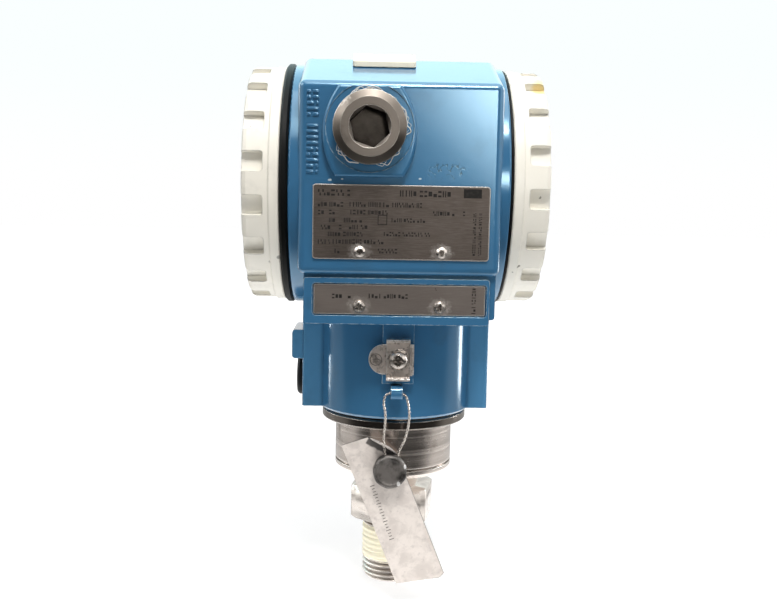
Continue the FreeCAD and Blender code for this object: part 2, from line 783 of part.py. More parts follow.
def blanking_plug():
    """Plug with a hexagon socket, screwed into the front conduit entry."""
    seat = boss_front - boss_spotface_depth
    height = plug_head_height
    shank_radius = conduit_core_radius - running_gap
    body = turned([(0, height), (plug_head_radius - plug_rim_width, height),
                   (plug_head_radius, height - plug_rim_drop), (plug_head_radius, plug_foot_chamfer),
                   (plug_head_radius - plug_foot_chamfer, 0), (shank_radius, 0),
                   (shank_radius, plug_tip_chamfer - plug_shank_length),
                   (shank_radius - plug_tip_chamfer, -plug_shank_length), (0, -plug_shank_length)])
    socket = hexagon(plug_socket_flats, plug_socket_depth + 1, plug_socket_turn)
    socket.translate(Vector(0, 0, height - plug_socket_depth))
    mouth = Part.makeCone(plug_socket_mouth - plug_mouth_drop, plug_socket_mouth + 0.2, plug_mouth_drop + 0.2,
                          Vector(0, 0, height - plug_mouth_drop))
    return placed(body.cut([socket, mouth]), (conduit_x, -seat, conduit_z), (0, -1, 0))


def nameplate():
    """Flat plate on the front face, held by two pins."""
    plate = rounded_block(-nameplate_width / 2, nameplate_width / 2,
                          -body_front - plate_thickness, -body_front,
                          nameplate_bottom, nameplate_top, plate_corner, (0, 1, 0))
    holes = [rod("y", pin_shank_radius + running_gap, -body_front - 2, -body_front + 1,
                 side * pin_spacing / 2,
                 nameplate_bottom + pin_above_edge) for side in (-1, 1)]
    return plate.cut(holes)


def nameplate_pins():
    """Two hammered pins with flat round heads."""
    pin = turned([(0, pin_head_height), (0.6 * pin_head_radius, pin_head_height),
                  (pin_head_radius, 0.4 * pin_head_height), (pin_head_radius, 0), (pin_shank_radius, 0),
                  (pin_shank_radius, -pin_shank_length), (0, -pin_shank_length)])
    seat = -body_front - plate_thickness
    return Part.makeCompound([placed(pin, (side * pin_spacing / 2, seat, nameplate_bottom + pin_above_edge),
                                     (0, -1, 0)) for side in (-1, 1)])


def range_plate():
    """Narrow plate in the framed seat below the nameplate."""
    plate = rounded_block(-range_plate_width / 2, range_plate_width / 2, -range_seat_y - plate_thickness,
                          -range_seat_y, range_bottom, range_top, plate_corner / 2, (0, 1, 0))
    holes = [rod("y", range_screw_shank_radius + running_gap, -range_seat_y - 2, -range_seat_y + 1,
                 side * pin_spacing / 2, range_bottom + range_screw_above_edge) for side in (-1, 1)]
    return plate.cut(holes)


def range_plate_screws():
    """Two cross-head screws of the range plate."""
    screw = pan_screw(range_screw_head_radius, range_screw_head_height, range_screw_shank_radius,
                      range_screw_length)
    seat = -range_seat_y - plate_thickness
    screw_z = range_bottom + range_screw_above_edge
    return Part.makeCompound([placed(screw, (side * pin_spacing / 2, seat, screw_z),
                                     (0, -1, 0)) for side in (-1, 1)])


def ground_plate():
    """Flat marking plate under the outside ground clamp, round at its left end."""
    centre_x = -ground_plate_left + ground_plate_round
    shape = rod("y", ground_plate_round, clamp_back, -rib_front, centre_x, ground_z)
    shape = shape.fuse(block(centre_x, ground_x + rib_half_width, clamp_back, -rib_front,
                             ground_z - ground_plate_round, ground_z + ground_plate_round)).removeSplitter()
    return shape.cut(rod("y", ground_screw_shank_radius + sliding_gap, clamp_back - 1, -rib_front + 1,
                         ground_x, ground_z))


def ground_clamp():
    """Folded clamp that holds the earth wire under the screw, with lips above, below and at the right."""
    left = ground_x - ground_clamp_half_width
    right = ground_x + ground_clamp_half_width
    low = ground_z - ground_clamp_half_height
    high = ground_z + ground_clamp_half_height
    lip_front = clamp_front - ground_clamp_lip
    web = block(left, right, clamp_front, clamp_back, low, high)
    lower_lip = block(left, right, lip_front, clamp_back, low - ground_clamp_thickness, low)
    upper_lip = block(left, right, lip_front, clamp_back, high, high + ground_clamp_thickness)
    flange = block(right, right + ground_clamp_thickness, clamp_front - ground_clamp_edge, clamp_back,
                   low + ground_clamp_thickness, high - ground_clamp_thickness)
    shape = web.fuse([lower_lip, upper_lip, flange]).removeSplitter()
    return shape.cut(rod("y", ground_screw_shank_radius + sliding_gap, clamp_front - 1, clamp_back + 1,
                         ground_x, ground_z))


def ground_washer():
    """Washer under the head of the ground screw."""
    washer = rod("y", ground_washer_radius, clamp_front - ground_washer_thickness, clamp_front,
                 ground_x, ground_z)
    return washer.cut(rod("y", ground_screw_shank_radius + sliding_gap, clamp_front - 1, clamp_front + 1,
                          ground_x, ground_z))


def ground_screw():
    """Cross-head screw of the outside ground terminal."""
    seat = clamp_front - ground_washer_thickness
    screw = pan_screw(ground_screw_head_radius, ground_screw_head_height, ground_screw_shank_radius,
                      ground_screw_length)
    return placed(screw, (ground_x, seat, ground_z), (0, -1, 0))


def vent_cap():
    """Round black cap of the vent, on the left pad, with a hollow stem into the neck."""
    hollow = membrane_radius + running_gap
    roof = vent_cap_thickness - vent_cap_wall
    outline = [(vent_passage_radius, -vent_stem_length), (vent_stem_radius, -vent_stem_length),
               (vent_stem_radius, 0), (vent_cap_radius, 0),
               (vent_cap_radius, vent_cap_thickness - vent_cap_chamfer),
               (vent_cap_radius - vent_cap_chamfer, vent_cap_thickness), (0, vent_cap_thickness), (0, roof),
               (hollow, roof), (hollow, vent_cap_floor), (vent_passage_radius, vent_cap_floor)]
    return placed(turned(outline), (-pad_reach, 0, vent_z), (-1, 0, 0))


def vent_membrane():
    """Breathing membrane inside the vent cap."""
    start = -pad_reach - vent_cap_floor
    return rod("x", membrane_radius, start - membrane_thickness, start, 0, vent_z)


def swivel_set_screw():
    """Socket set screw that locks the housing on the spigot."""
    tip = spigot_radius - screw_groove_depth + free_gap
    point_length = neck_bore_radius + free_gap - tip
    shape = turned([(0, 0), (set_screw_point_radius, 0), (set_screw_point_radius, point_length),
                    (set_screw_radius, point_length + set_screw_taper), (set_screw_radius, set_screw_length),
                    (0, set_screw_length)])
    socket = hexagon(set_screw_socket_flats, set_screw_socket_depth + 1)
    socket.translate(Vector(0, 0, set_screw_length - set_screw_socket_depth))
    return placed(shape.cut(socket), (tip, 0, neck_bottom + screw_groove_above_neck), (1, 0, 0))


def key_y(index):
    """Place of a key along Y."""
    return (index - (key_count - 1) / 2) * key_pitch


def key_plunger(index):
    """Push key: round head and short stem."""
    tip = key_head_bottom - key_stem_length
    shape = turned([(0, key_top), (key_head_radius - key_head_chamfer, key_top),
                    (key_head_radius, key_top - key_head_chamfer), (key_head_radius, key_head_bottom),
                    (key_stem_radius, key_head_bottom), (key_stem_radius, tip), (0, tip)])
    shape.translate(Vector(key_x, key_y(index), 0))
    return shape


def key_spring(index):
    """Coil spring between the bottom of a key's bore and its head."""
    low = key_bore_bottom + spring_wire_radius
    high = key_head_bottom - spring_wire_radius
    helix = Part.makeHelix((high - low) / spring_turns, high - low, spring_radius)
    section = Part.Wire(Part.makeCircle(spring_wire_radius, Vector(spring_radius, 0, 0), Vector(0, 1, 0)))
    coil = Part.Wire(helix.Edges).makePipeShell([section], True, True)
    coil.translate(Vector(key_x, key_y(index), low))
    return coil


def key_panel():
    """Thin marking panel round the keys, on the floor of the pocket."""
    half_width = key_pocket_half_width - free_gap
    half_depth = key_pocket_half_depth - free_gap
    panel = rounded_block(key_x - half_width, key_x + half_width, -half_depth, half_depth, key_floor,
                          key_floor + key_panel_thickness, key_pocket_corner - free_gap, (0, 0, 1))
    holes = [rod("z", key_bore_radius, key_floor - 1, key_floor + 1, key_x, key_y(index))
             for index in range(key_count)]
    return panel.cut(holes)


def key_flap():
    """Flap over the keys: it follows the roof and its front slope, and hinges on a pin at the back."""
    under = roof_z + flap_gap
    over = under + flap_thickness
    lean = math.sqrt(1 + roof_slope * roof_slope)
    front_under = under + (flap_front_y + roof_half_depth) * roof_slope
    plate = profile_x([(flap_front_y, front_under), (-roof_half_depth, under), (hinge_y, under),
                       (hinge_y, over),
                       (-roof_half_depth, over), (flap_front_y, front_under + flap_thickness * lean)],
                      key_x - flap_half_width, key_x + flap_half_width)
    plate = plate.makeFillet(flap_corner, edges_along(plate, (0, 0, 1)))
    knuckle_left = key_x - flap_half_width + hinge_ear_width + free_gap
    knuckle_right = key_x + flap_half_width - hinge_ear_width - free_gap
    back = hinge_y - hinge_knuckle_radius - free_gap
    left_cut = block(key_x - flap_half_width - 1, knuckle_left, back, hinge_y + 1, under - 1, over + 1)
    right_cut = block(knuckle_right, key_x + flap_half_width + 1, back, hinge_y + 1, under - 1, over + 1)
    knuckle = rod("x", hinge_knuckle_radius, knuckle_left, knuckle_right, hinge_y, hinge_z)
    bore = rod("x", hinge_pin_radius + running_gap, knuckle_left - 1, knuckle_right + 1, hinge_y, hinge_z)
    return plate.cut([left_cut, right_cut]).fuse(knuckle).cut(bore).removeSplitter()


def flap_hinge_pin():
    """Pin through the housing's two ears and the flap's knuckle."""
    return rod("x", hinge_pin_radius, key_x - flap_half_width, key_x + flap_half_width, hinge_y, hinge_z)


def terminal_y(index):
    """Place of a terminal along Y."""
    return (index - (terminal_count - 1) / 2) * terminal_pitch


def terminal_block():
    """Moulded block on the divider, with three terminal chambers and a spigot through the divider."""
    low = axis_height - terminal_block_bottom_below_axis
    shape = rounded_block(block_left, divider_left, -terminal_block_half_width, terminal_block_half_width,
                          low, terminal_top, terminal_block_corner, (1, 0, 0))
    spigot = rod("x", feedthrough_radius - sliding_gap, divider_left - 1, module_left, 0, axis_height)
    cuts = []
    for index in range(terminal_count):
        y = terminal_y(index)
        cuts.append(block(block_left - 1, terminal_back, y - terminal_width / 2, y + terminal_width / 2,
                          terminal_top - terminal_chamber_height, terminal_top + 1))
    for side in (-1, 1):
        y = side * block_screw_offset
        cuts.append(rod("x", block_screw_radius + sliding_gap, block_left - 1, divider_left + 1,
                        y, block_screw_z))
        cuts.append(rod("x", block_screw_head_radius + free_gap, block_left - 1,
                        block_left + block_screw_sink,
                        y, block_screw_z))
    return shape.fuse(spigot).cut(cuts)


def terminal_clamps():
    """Clamp plates at the back of the terminal chambers."""
    low = terminal_top - terminal_chamber_height
    half = terminal_width / 2 - running_gap
    clamps = []
    for index in range(terminal_count):
        y = terminal_y(index)
        clamp = block(terminal_back - terminal_clamp_thickness, terminal_back, y - half, y + half, low,
                      low + terminal_clamp_height)
        clamps.append(clamp.cut(rod("x", terminal_screw_radius + running_gap, block_left,
                                    terminal_back + 1, y,
                                    terminal_screw_z)))
    return Part.makeCompound(clamps)


def terminal_screws():
    """Clamping screws of the terminals, with their heads towards the cover."""
    seat = terminal_back - terminal_clamp_thickness
    screw = pan_screw(terminal_head_radius, terminal_head_height, terminal_screw_radius,
                      terminal_clamp_thickness)
    return Part.makeCompound([placed(screw, (seat, terminal_y(index), terminal_screw_z), (-1, 0, 0))
                              for index in range(terminal_count)])


def block_screws():
    """Two screws that hold the terminal block on the divider."""
    seat = block_left + block_screw_sink
    length = divider_right - blind_end - seat
    screw = pan_screw(block_screw_head_radius, block_screw_head_height, block_screw_radius, length)
    return Part.makeCompound([placed(screw, (seat, side * block_screw_offset, block_screw_z), (-1, 0, 0))
                              for side in (-1, 1)])


def inner_ground_screw():
    """Ground screw inside the terminal compartment."""
    seat = divider_left - inner_ground_boss_length
    screw = pan_screw(inner_ground_head_radius, inner_ground_head_height, block_screw_radius,
                      inner_ground_boss_length)
    return placed(screw, (seat, 0, inner_ground_z), (-1, 0, 0))


def electronics_module():
    """Round potted module in the right compartment, with a stepped rim round a shallow dish."""
    rim = module_radius - module_step_width
    step = module_length - module_step_length
    dish = rim - module_rim_width
    outline = [(0, 0), (module_radius, 0), (module_radius, step - module_step_width), (rim, step),
               (rim, module_length), (dish, module_length), (dish, module_length - module_dish_depth),
               (0, module_length - module_dish_depth)]
    shape = placed(turned(outline), (module_left, 0, axis_height), (1, 0, 0))
    cuts = []
    for side in (-1, 1):
        y = side * module_boss_offset
        cuts.append(rod("x", block_screw_radius + sliding_gap, module_left - 1, module_right + 1,
                        y, axis_height))
        cuts.append(rod("x", module_screw_head_radius + free_gap, module_right - module_screw_sink,
                        module_right + 1, y, axis_height))
    return shape.cut(cuts)


def module_screws():
    """Two long screws through the module into the bosses on the divider."""
    seat = module_right - module_screw_sink
    length = seat - divider_left - blind_end
    screw = pan_screw(module_screw_head_radius, module_screw_head_height, block_screw_radius, length)
    return Part.makeCompound([placed(screw, (seat, side * module_boss_offset, axis_height), (1, 0, 0))
                              for side in (-1, 1)])


# Route of the seal wire from the lug's centre: up the left leg out of the lead seal, through the lug and down
seal_wire_route = [(-3.2, -0.8, -22.3), (-3.7, -0.5, -18.8), (-4.1, -0.45, -15.2), (-3.6, -1.1, -11.0),
                   (-3.5, -1.5, -6.6), (-4.4, -1.2, -2.8), (-3.1, 0.0, 0.0), (2.7, 0.0, 0.0), (3.9, -1.2, -3.0),
                   (4.4, -1.6, -7.2), (4.0, -1.5, -11.6), (2.9, -1.3, -16.0), (1.1, -1.0, -19.4),
                   (0.5, -0.9, -22.3)]


def seal_wire():
    """Twisted seal wire, a closed loop through the lug and into the lead seal."""
    lug = Vector(0, lug_y, lug_z)
    return tube([lug + Vector(*point) for point in seal_wire_route], wire_radius, "seal wire")


def lead_seal():
    """Pressed lead disc on the two ends of the wire."""
    half = lead_seal_thickness / 2
    radius = lead_seal_radius
    disc = turned([(0, -half), (radius - lead_seal_edge, -half), (radius, lead_seal_edge - half),
                   (radius, half - lead_seal_edge), (radius - lead_seal_edge, half), (0, half)])
    return placed(disc, (lead_seal_x, lead_seal_y, lead_seal_z), (0, -1, 0))


def tag_plate():
    """Thin metal tag with one corner bent forward round the wire, which passes through its hole."""
    fold_left = Vector(tag_fold_left[0], tag_y, lug_z + tag_fold_left[1])
    fold_right = Vector(tag_fold_right[0], tag_y, lug_z + tag_fold_right[1])
    front = tag_y - tag_thickness / 2
    back = tag_y + tag_thickness / 2
    corners = [tag_left_top, tag_fold_left, tag_fold_right, tag_right_bottom, tag_low_right, tag_low_left]
    sheet = profile_y([(x, lug_z + above) for x, above in corners], front, back)
    fold = (fold_right - fold_left).normalize()
    across = Vector(-fold.z, 0, fold.x)
    middle = (fold_left + fold_right) * 0.5
    reach = across * tag_tab_reach
    tab_corners = [middle - fold * tag_tab_half_base, middle - fold * tag_tab_half_tip + reach,
                   middle + fold * tag_tab_half_tip + reach, middle + fold * tag_tab_half_base]
    tab = profile_y([(point.x, point.z) for point in tab_corners], front, back)
    hole = middle + across * tag_hole_reach
    tab = tab.cut(rod("y", tag_hole_radius, front - 1, back + 1, hole.x, hole.z))
    return sheet.fuse(tab.rotated(middle, fold, tag_fold_angle)).removeSplitter()


def build():
    """Makes every node and writes its file."""
    os.makedirs("parts", exist_ok=True)
    save("process_connection", process_connection())
    save("sensor_can", sensor_can())
    save("neck_adapter", neck_adapter())
    save("neck_seal", neck_seal())
    save("isolating_diaphragm", isolating_diaphragm())
    save("pressure_cell", pressure_cell())
    save("sensor_leads", sensor_leads())
    save("sensor_board", sensor_board())
    save("sensor_socket", sensor_socket())
    save("sensor_cable", sensor_cable())
    save("housing", housing())
    save("terminal_cover", cover(-1))
    save("electronics_cover", cover(1))
    save("terminal_cover_seal", cover_seal(-1))
    save("electronics_cover_seal", cover_seal(1))
    save("blanking_plug", blanking_plug())
    save("nameplate", nameplate())
    save("nameplate_pins", nameplate_pins())
    save("range_plate", range_plate())
    save("range_plate_screws", range_plate_screws())
    save("ground_plate", ground_plate())
    save("ground_clamp", ground_clamp())
    save("ground_washer", ground_washer())
    save("ground_screw", ground_screw())
    save("vent_cap", vent_cap())
    save("vent_membrane", vent_membrane())
    save("swivel_set_screw", swivel_set_screw())
    for index in range(key_count):
        save(f"key_plunger_{index + 1}", key_plunger(index))
        save(f"key_spring_{index + 1}", key_spring(index))
    save("key_panel", key_panel())
    save("key_flap", key_flap())
    save("flap_hinge_pin", flap_hinge_pin())
    save("terminal_block", terminal_block())
    save("terminal_clamps", terminal_clamps())
    save("terminal_screws", terminal_screws())
    save("terminal_block_screws", block_screws())
    save("inner_ground_screw", inner_ground_screw())
    save("electronics_module", electronics_module())
    save("module_screws", module_screws())
    save("seal_wire", seal_wire())
    save("lead_seal", lead_seal())
    save("tag_plate", tag_plate())


build()
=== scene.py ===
# %% [markdown]
# This lesson dresses a packed pressure transmitter: a blue die-cast housing on a stainless sensor. The
# imported model already holds every solid at its real size, so the lesson starts by loading it, and each
# finish or new piece is fitted to it.

# %% Load the imported model
import random
from math import atan2, cos, pi, radians, sin

import bmesh
import bpy
from mathutils import Matrix, Vector, noise


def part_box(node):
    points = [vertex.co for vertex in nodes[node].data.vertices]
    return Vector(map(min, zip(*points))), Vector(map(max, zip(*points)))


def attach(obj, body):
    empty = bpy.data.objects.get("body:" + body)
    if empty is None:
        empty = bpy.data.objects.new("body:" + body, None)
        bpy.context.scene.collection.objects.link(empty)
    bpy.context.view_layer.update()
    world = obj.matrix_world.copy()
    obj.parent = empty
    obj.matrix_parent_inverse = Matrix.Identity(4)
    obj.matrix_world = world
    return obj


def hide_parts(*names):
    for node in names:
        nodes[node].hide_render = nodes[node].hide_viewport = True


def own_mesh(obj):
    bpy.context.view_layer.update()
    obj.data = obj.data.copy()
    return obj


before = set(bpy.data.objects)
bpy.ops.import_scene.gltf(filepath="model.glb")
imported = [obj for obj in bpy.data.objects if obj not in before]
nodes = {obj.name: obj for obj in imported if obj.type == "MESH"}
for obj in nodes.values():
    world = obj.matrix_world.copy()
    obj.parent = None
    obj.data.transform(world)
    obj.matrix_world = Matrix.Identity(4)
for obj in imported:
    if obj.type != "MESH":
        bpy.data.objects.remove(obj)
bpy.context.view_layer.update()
MM = 0.001

# %% [markdown]
# The camera stands where the photographer stood, a third of a metre in front of the plates and slightly
# above the housing's middle. Its three directions are written out, because a hand-held camera is turned a
# little about all of them, and a matrix holds that more plainly than three angles would.

# %% Place the camera
right = Vector((0.9996, -0.0195, 0.0189))
up = Vector((-0.0165, 0.1130, 0.9935))
back = Vector((-0.0215, -0.9934, 0.1126))
camera = bpy.data.objects.new("photo_camera", bpy.data.cameras.new("photo_camera"))
bpy.context.scene.collection.objects.link(camera)
camera.data.lens = 43.82
camera.data.sensor_width = 36
camera.data.clip_start = 0.01
camera.matrix_world = Matrix.Translation((-0.00988, -0.33643, 0.11663)) @ Matrix(
    [(right[i], up[i], back[i]) for i in range(3)]).to_4x4()
bpy.context.scene.camera = camera
print("camera at", [round(value, 3) for value in camera.matrix_world.translation])

# %% [markdown]
# New pieces are built with bmesh, in metres, where the model's coordinates say. One helper turns a
# finished bmesh into an object at the origin and lets it ride on a body of the model. A second one builds
# round things: it takes a flat grid, and a function bends each of its points round an axis.

# %% Helpers for new pieces
def new_object(name, mesh):
    """Makes an object of a bmesh."""
    data = bpy.data.meshes.new(name)
    mesh.to_mesh(data)
    mesh.free()
    made = bpy.data.objects.new(name, data)
    bpy.context.scene.collection.objects.link(made)
    return made


def add_piece(name, mesh, body, smooth=True):
    """Makes an object of a bmesh, and lets it ride on a body."""
    bmesh.ops.recalc_face_normals(mesh, faces=mesh.faces)
    piece = new_object(name, mesh)
    for face in piece.data.polygons:
        face.use_smooth = smooth
    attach(piece, body)
    print(name, len(piece.data.polygons), "faces")
    return piece


def polar(turn, radius, z):
    """The point at a turn and a radius round the Z axis, in millimetres made metres."""
    return Vector((radius * cos(turn), radius * sin(turn), z)) * MM


def add_wrapped(mesh, columns, rows, place):
    """Adds a grid whose points are placed by their turn (0 to 2 pi) and their share of the way (0 to 1)."""
    grid = bmesh.ops.create_grid(mesh, x_segments=columns, y_segments=rows, size=0.5)["verts"]
    for vertex in grid:
        vertex.co = place((vertex.co.x + 0.5) * 2 * pi, vertex.co.y + 0.5)
    bmesh.ops.remove_doubles(mesh, verts=grid, dist=1e-6)


def add_bar(mesh, centre, size, turn=0.0, round_by=0.0):
    """Adds a box, in millimetres, turned about Y, with its edges rounded if wanted."""
    stand = Matrix.Translation(Vector(centre) * MM) @ Matrix.Rotation(turn, 4, "Y") @ Matrix.Diagonal(
        (*(Vector(size) * MM), 1))
    corners = bmesh.ops.create_cube(mesh, size=1.0, matrix=stand)["verts"]
    if round_by:
        edges = list({edge for corner in corners for edge in corner.link_edges})
        bmesh.ops.bevel(mesh, geom=edges, offset=round_by * MM, segments=2, affect="EDGES", profile=0.5,
                        material=-1)


def add_tube(mesh, line, radius, spin=None, sides=7):
    """Adds a round tube along a line. spin is (offset, twist length, phase) of a strand that winds round it."""
    side = Vector((0.1, 1, 0.2))
    travelled = 0.0
    rings = []
    for index, here in enumerate(line):
        ahead, behind = line[min(index + 1, len(line) - 1)], line[max(index - 1, 0)]
        along = (ahead - behind).normalized()
        side = (side - along * side.dot(along)).normalized()
        travelled += (here - behind).length if index else 0.0
        centre = here
        if spin:
            offset, twist, phase = spin
            centre = here + Matrix.Rotation(phase + 2 * pi * travelled / twist, 3, along) @ side * offset
        other = along.cross(side)
        rings.append([mesh.verts.new(centre + radius * (cos(angle) * side + sin(angle) * other))
                      for angle in (2 * pi * corner / sides for corner in range(sides))])
    for low, high in zip(rings, rings[1:]):
        for corner in range(sides):
            after = (corner + 1) % sides
            mesh.faces.new((low[corner], low[after], high[after], high[corner]))
    mesh.faces.new(rings[0])
    mesh.faces.new(rings[-1])


print("piece helpers ready")

# %% [markdown]
# The seal wire is the part's cord. It leaves the lead seal, runs up its left leg, through the lug and back
# down into the seal, so both ends are in the object. A NURBS spline with the route's points as control
# points gives one smooth line, as thin steel wire takes. Two strands wind round that line.

# %% The seal wire
seal_wire_route = [(-3.2, -30.8, 28.9), (-3.7, -30.5, 32.4), (-4.1, -30.45, 36.0), (-3.6, -31.1, 40.2),
                   (-3.5, -31.5, 44.6), (-4.4, -31.2, 48.4), (-3.1, -30.0, 51.2), (2.7, -30.0, 51.2),
                   (3.9, -31.2, 48.2), (4.4, -31.6, 44.0), (4.0, -31.5, 39.6), (2.9, -31.3, 35.2),
                   (1.1, -31.0, 31.8), (0.5, -30.9, 28.9)]


def smooth_line(name, route):
    """Points along the NURBS spline of a route given in millimetres."""
    curve = bpy.data.curves.new(name, "CURVE")
    curve.dimensions = "3D"
    spline = curve.splines.new("NURBS")
    spline.points.add(len(route) - 1)
    for point, place in zip(spline.points, route):
        point.co = (*(Vector(place) * MM), 1.0)
    spline.order_u = 3
    spline.use_endpoint_u = True
    spline.resolution_u = 24
    holder = bpy.data.objects.new(name, curve)
    mesh = bpy.data.meshes.new_from_object(holder)
    points = [vertex.co.copy() for vertex in mesh.vertices]
    bpy.data.objects.remove(holder)
    bpy.data.curves.remove(curve)
    bpy.data.meshes.remove(mesh)
    return points


wire_line = smooth_line("seal wire line", seal_wire_route)
strand_radius, strand_offset, twist_length = 0.00023, 0.00022, 0.0024
strands = bmesh.new()
for phase in (0.0, pi):
    add_tube(strands, wire_line, strand_radius, (strand_offset, twist_length, phase))
seal_wire = add_piece("twisted_seal_wire", strands, "seal_loop")
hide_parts("seal_wire")
wire_length = sum((b - a).length for a, b in zip(wire_line, wire_line[1:]))
print(f"seal wire {1000 * wire_length:.1f} mm on {len(wire_line)} points")

# %% [markdown]
# The stub's thread is a parallel pipe thread. The solid is a plain cylinder at its crests, so this piece
# takes a copy of the connection, opens its thread faces, and wraps a fine grid in their place. Each point's
# radius follows the thread's wave, which climbs one pitch in a turn, and the chamfer at the end cuts it off.

# %% The threaded connection
pitch = 1.814
crest_radius = 10.478
thread_depth = 1.16
thread_end = -22.6
end_chamfer = 1.2
port_radius = 5.7
end_share = 0.04
connection = bmesh.new()
connection.from_mesh(nodes["process_connection"].data)
bmesh.ops.remove_doubles(connection, verts=connection.verts, dist=1e-6)
outer = [face for face in connection.faces if face.calc_center_median().z < -1e-5 and
         face.calc_center_median().xy.length > 0.0058]
bmesh.ops.delete(connection, geom=outer, context="FACES")


def thread_wave(turn, z):
    """The thread's wave: 0 in a groove and 1 on a crest."""
    return abs(((z - pitch * turn / (2 * pi)) / pitch) % 1.0 - 0.5) * 2


def thread_place(turn, share):
    """A point of the threaded stub: the end face first, then the thread from its end up to the shoulder."""
    if share < end_share:
        radius = port_radius + (crest_radius - end_chamfer - port_radius) * share / end_share
        return polar(turn, radius, thread_end)
    z = thread_end * (1 - (share - end_share) / (1 - end_share))
    wave = thread_wave(turn, z)
    rounded_wave = wave * wave * (3 - 2 * wave)
    radius = crest_radius - thread_depth * (1 - rounded_wave) * min(1.0, -z / 1.5)
    return polar(turn, min(radius, crest_radius - end_chamfer + (z - thread_end)), z)


add_wrapped(connection, 96, 170, thread_place)
threaded = add_piece("threaded_connection", connection, "sensor")
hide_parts("process_connection")

# %% [markdown]
# Above the bare turns the thread still carries old sealing tape, wound on by hand and gone yellow. It is a
# wrapped grid too: it sags a little between the crests, and the laps of the tape overlap in steps.

# %% Thread tape
tape_low = -15.6
tape_high = -3.0
tape_width = 5.2


def tape_place(turn, share):
    """A point of the wound tape."""
    ragged = 0.5 * noise.noise(Vector((2 * cos(turn), 2 * sin(turn), 9.0)))
    z = tape_low + ragged + (tape_high - tape_low - ragged) * share
    lap = ((z - tape_width * turn / (2 * pi)) / tape_width) % 1.0
    crease = noise.noise(Vector((14 * cos(turn), 14 * sin(turn), z * 2.0)))
    sag = 0.16 * (1 - thread_wave(turn, z))
    closing = min(1.0, 12 * share, 12 * (1 - share))
    return polar(turn, crest_radius + 0.06 + 0.12 * lap + 0.05 * crease - sag - 0.5 * (1 - closing), z)


tape_mesh = bmesh.new()
add_wrapped(tape_mesh, 120, 60, tape_place)
tape = add_piece("thread_tape", tape_mesh, "sensor")

# %% [markdown]
# The same kind of tape was used on the plug, and its torn ends stick out all round under the head. Each
# shred is a thin thread that follows the rim for a while and then lifts off it. Seeded random numbers place
# them, so that every run gives the same ones.

# %% Torn tape round the plug
plug_x, plug_z = -10.2, 136.25
rim_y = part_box("blanking_plug")[0].y / MM + 5.3
rim_radius = 11.25
chance = random.Random(11)
shred_mesh = bmesh.new()
for start, spread, count in ((62, 70, 9), (-12, 48, 8), (205, 35, 3), (268, 50, 3)):
    for _ in range(count):
        angle = radians(start + chance.random() * spread)
        length = radians(12 + 26 * chance.random())
        lift = chance.uniform(0.2, 1.3)
        wander = chance.uniform(0, 50)
        points = []
        for step in range(12):
            share = step / 11
            here = angle + length * share
            wave = 0.35 * noise.noise(Vector((wander, 4 * share, 0)))
            radius = rim_radius + lift * sin(pi * share) ** 2 + wave
            depth = rim_y - 0.9 * share * lift + 0.5 * noise.noise(Vector((0, wander, 4 * share)))
            points.append(Vector((plug_x + radius * cos(here), depth, plug_z + radius * sin(here))) * MM)
        add_tube(shred_mesh, points, chance.uniform(0.06, 0.16) * MM)
shreds = add_piece("plug_tape_shreds", shred_mesh, "housing")

# %% [markdown]
# The lead seal was pressed with a hand tool, so its rim is uneven and its faces are a little dished. One
# wrapped grid follows its outline from the middle of the front to the middle of the back, and noise dents
# it. It replaces the plain disc.

# %% The lead seal
seal_low, seal_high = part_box("lead_seal")
seal_centre = (seal_low + seal_high) / 2
seal_outline = [(0.0, -1.75), (3.9, -1.75), (4.3, -2.0), (5.1, -2.0), (5.65, -1.5), (5.7, -0.5), (5.7, 0.6),
                (5.6, 1.5), (5.0, 2.0), (0.0, 1.95)]


def seal_place(turn, share):
    """A point of the pressed disc."""
    step = share * (len(seal_outline) - 1)
    index = min(int(step), len(seal_outline) - 2)
    radius, depth = Vector(seal_outline[index]).lerp(Vector(seal_outline[index + 1]), step - index)
    dent = noise.noise(Vector((1.6 * cos(turn), 1.6 * sin(turn), depth)))
    facet = abs(((turn * 9 / (2 * pi)) % 1.0) - 0.5)
    radius *= 1.0 + 0.025 * dent - 0.05 * facet * (radius > 4.5)
    pressed = 0.10 * noise.noise(Vector((radius * cos(turn), radius * sin(turn), 3.0)) * 0.7)
    return seal_centre + Vector((radius * cos(turn), depth + pressed, radius * sin(turn))) * MM


seal_mesh = bmesh.new()
add_wrapped(seal_mesh, 54, 45, seal_place)
pressed_seal = add_piece("pressed_lead_seal", seal_mesh, "seal_loop")
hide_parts("lead_seal")

# %% [markdown]
# Left of the plug the casting has a raised inscription. Nothing on this part may be read, so it becomes a
# column of raised bars, some of them split, with the same height, pitch and length as the real one.

# %% Raised marks on the casting
front_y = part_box("nameplate")[1].y / MM
cast_mesh = bmesh.new()
row_pitch = 1.74
bar_length, gap = 3.7, 0.5
bars_left, bars_right = -29.6, -25.9


def add_cast_bar(left, length, z):
    """Adds one raised bar with rounded edges."""
    add_bar(cast_mesh, (left + length / 2, front_y, z), (length, 0.9, 1.0), round_by=0.22)


for z in [147.1 - row_pitch * step for step in range(5)] + [136.7 - row_pitch * step for step in range(9)]:
    split = chance.choice((0.0, 0.35, 0.6))
    if split:
        first = bar_length * split
        second = bar_length - gap - first
        add_cast_bar(bars_left, first, z)
        add_cast_bar(bars_right - second, second, z)
    else:
        add_cast_bar(bars_left, bar_length, z)
cast_marks = add_piece("raised_cast_marks", cast_mesh, "housing")

# %% [markdown]
# The plates are printed with rows of small text. It turns into rows of small signs that say nothing: blocks,
# bars and dots, in the real rows' places and heights, so the plates keep their busy look. The rows were
# measured on the photograph: start and end along X, height above the body's axis, and letter height.

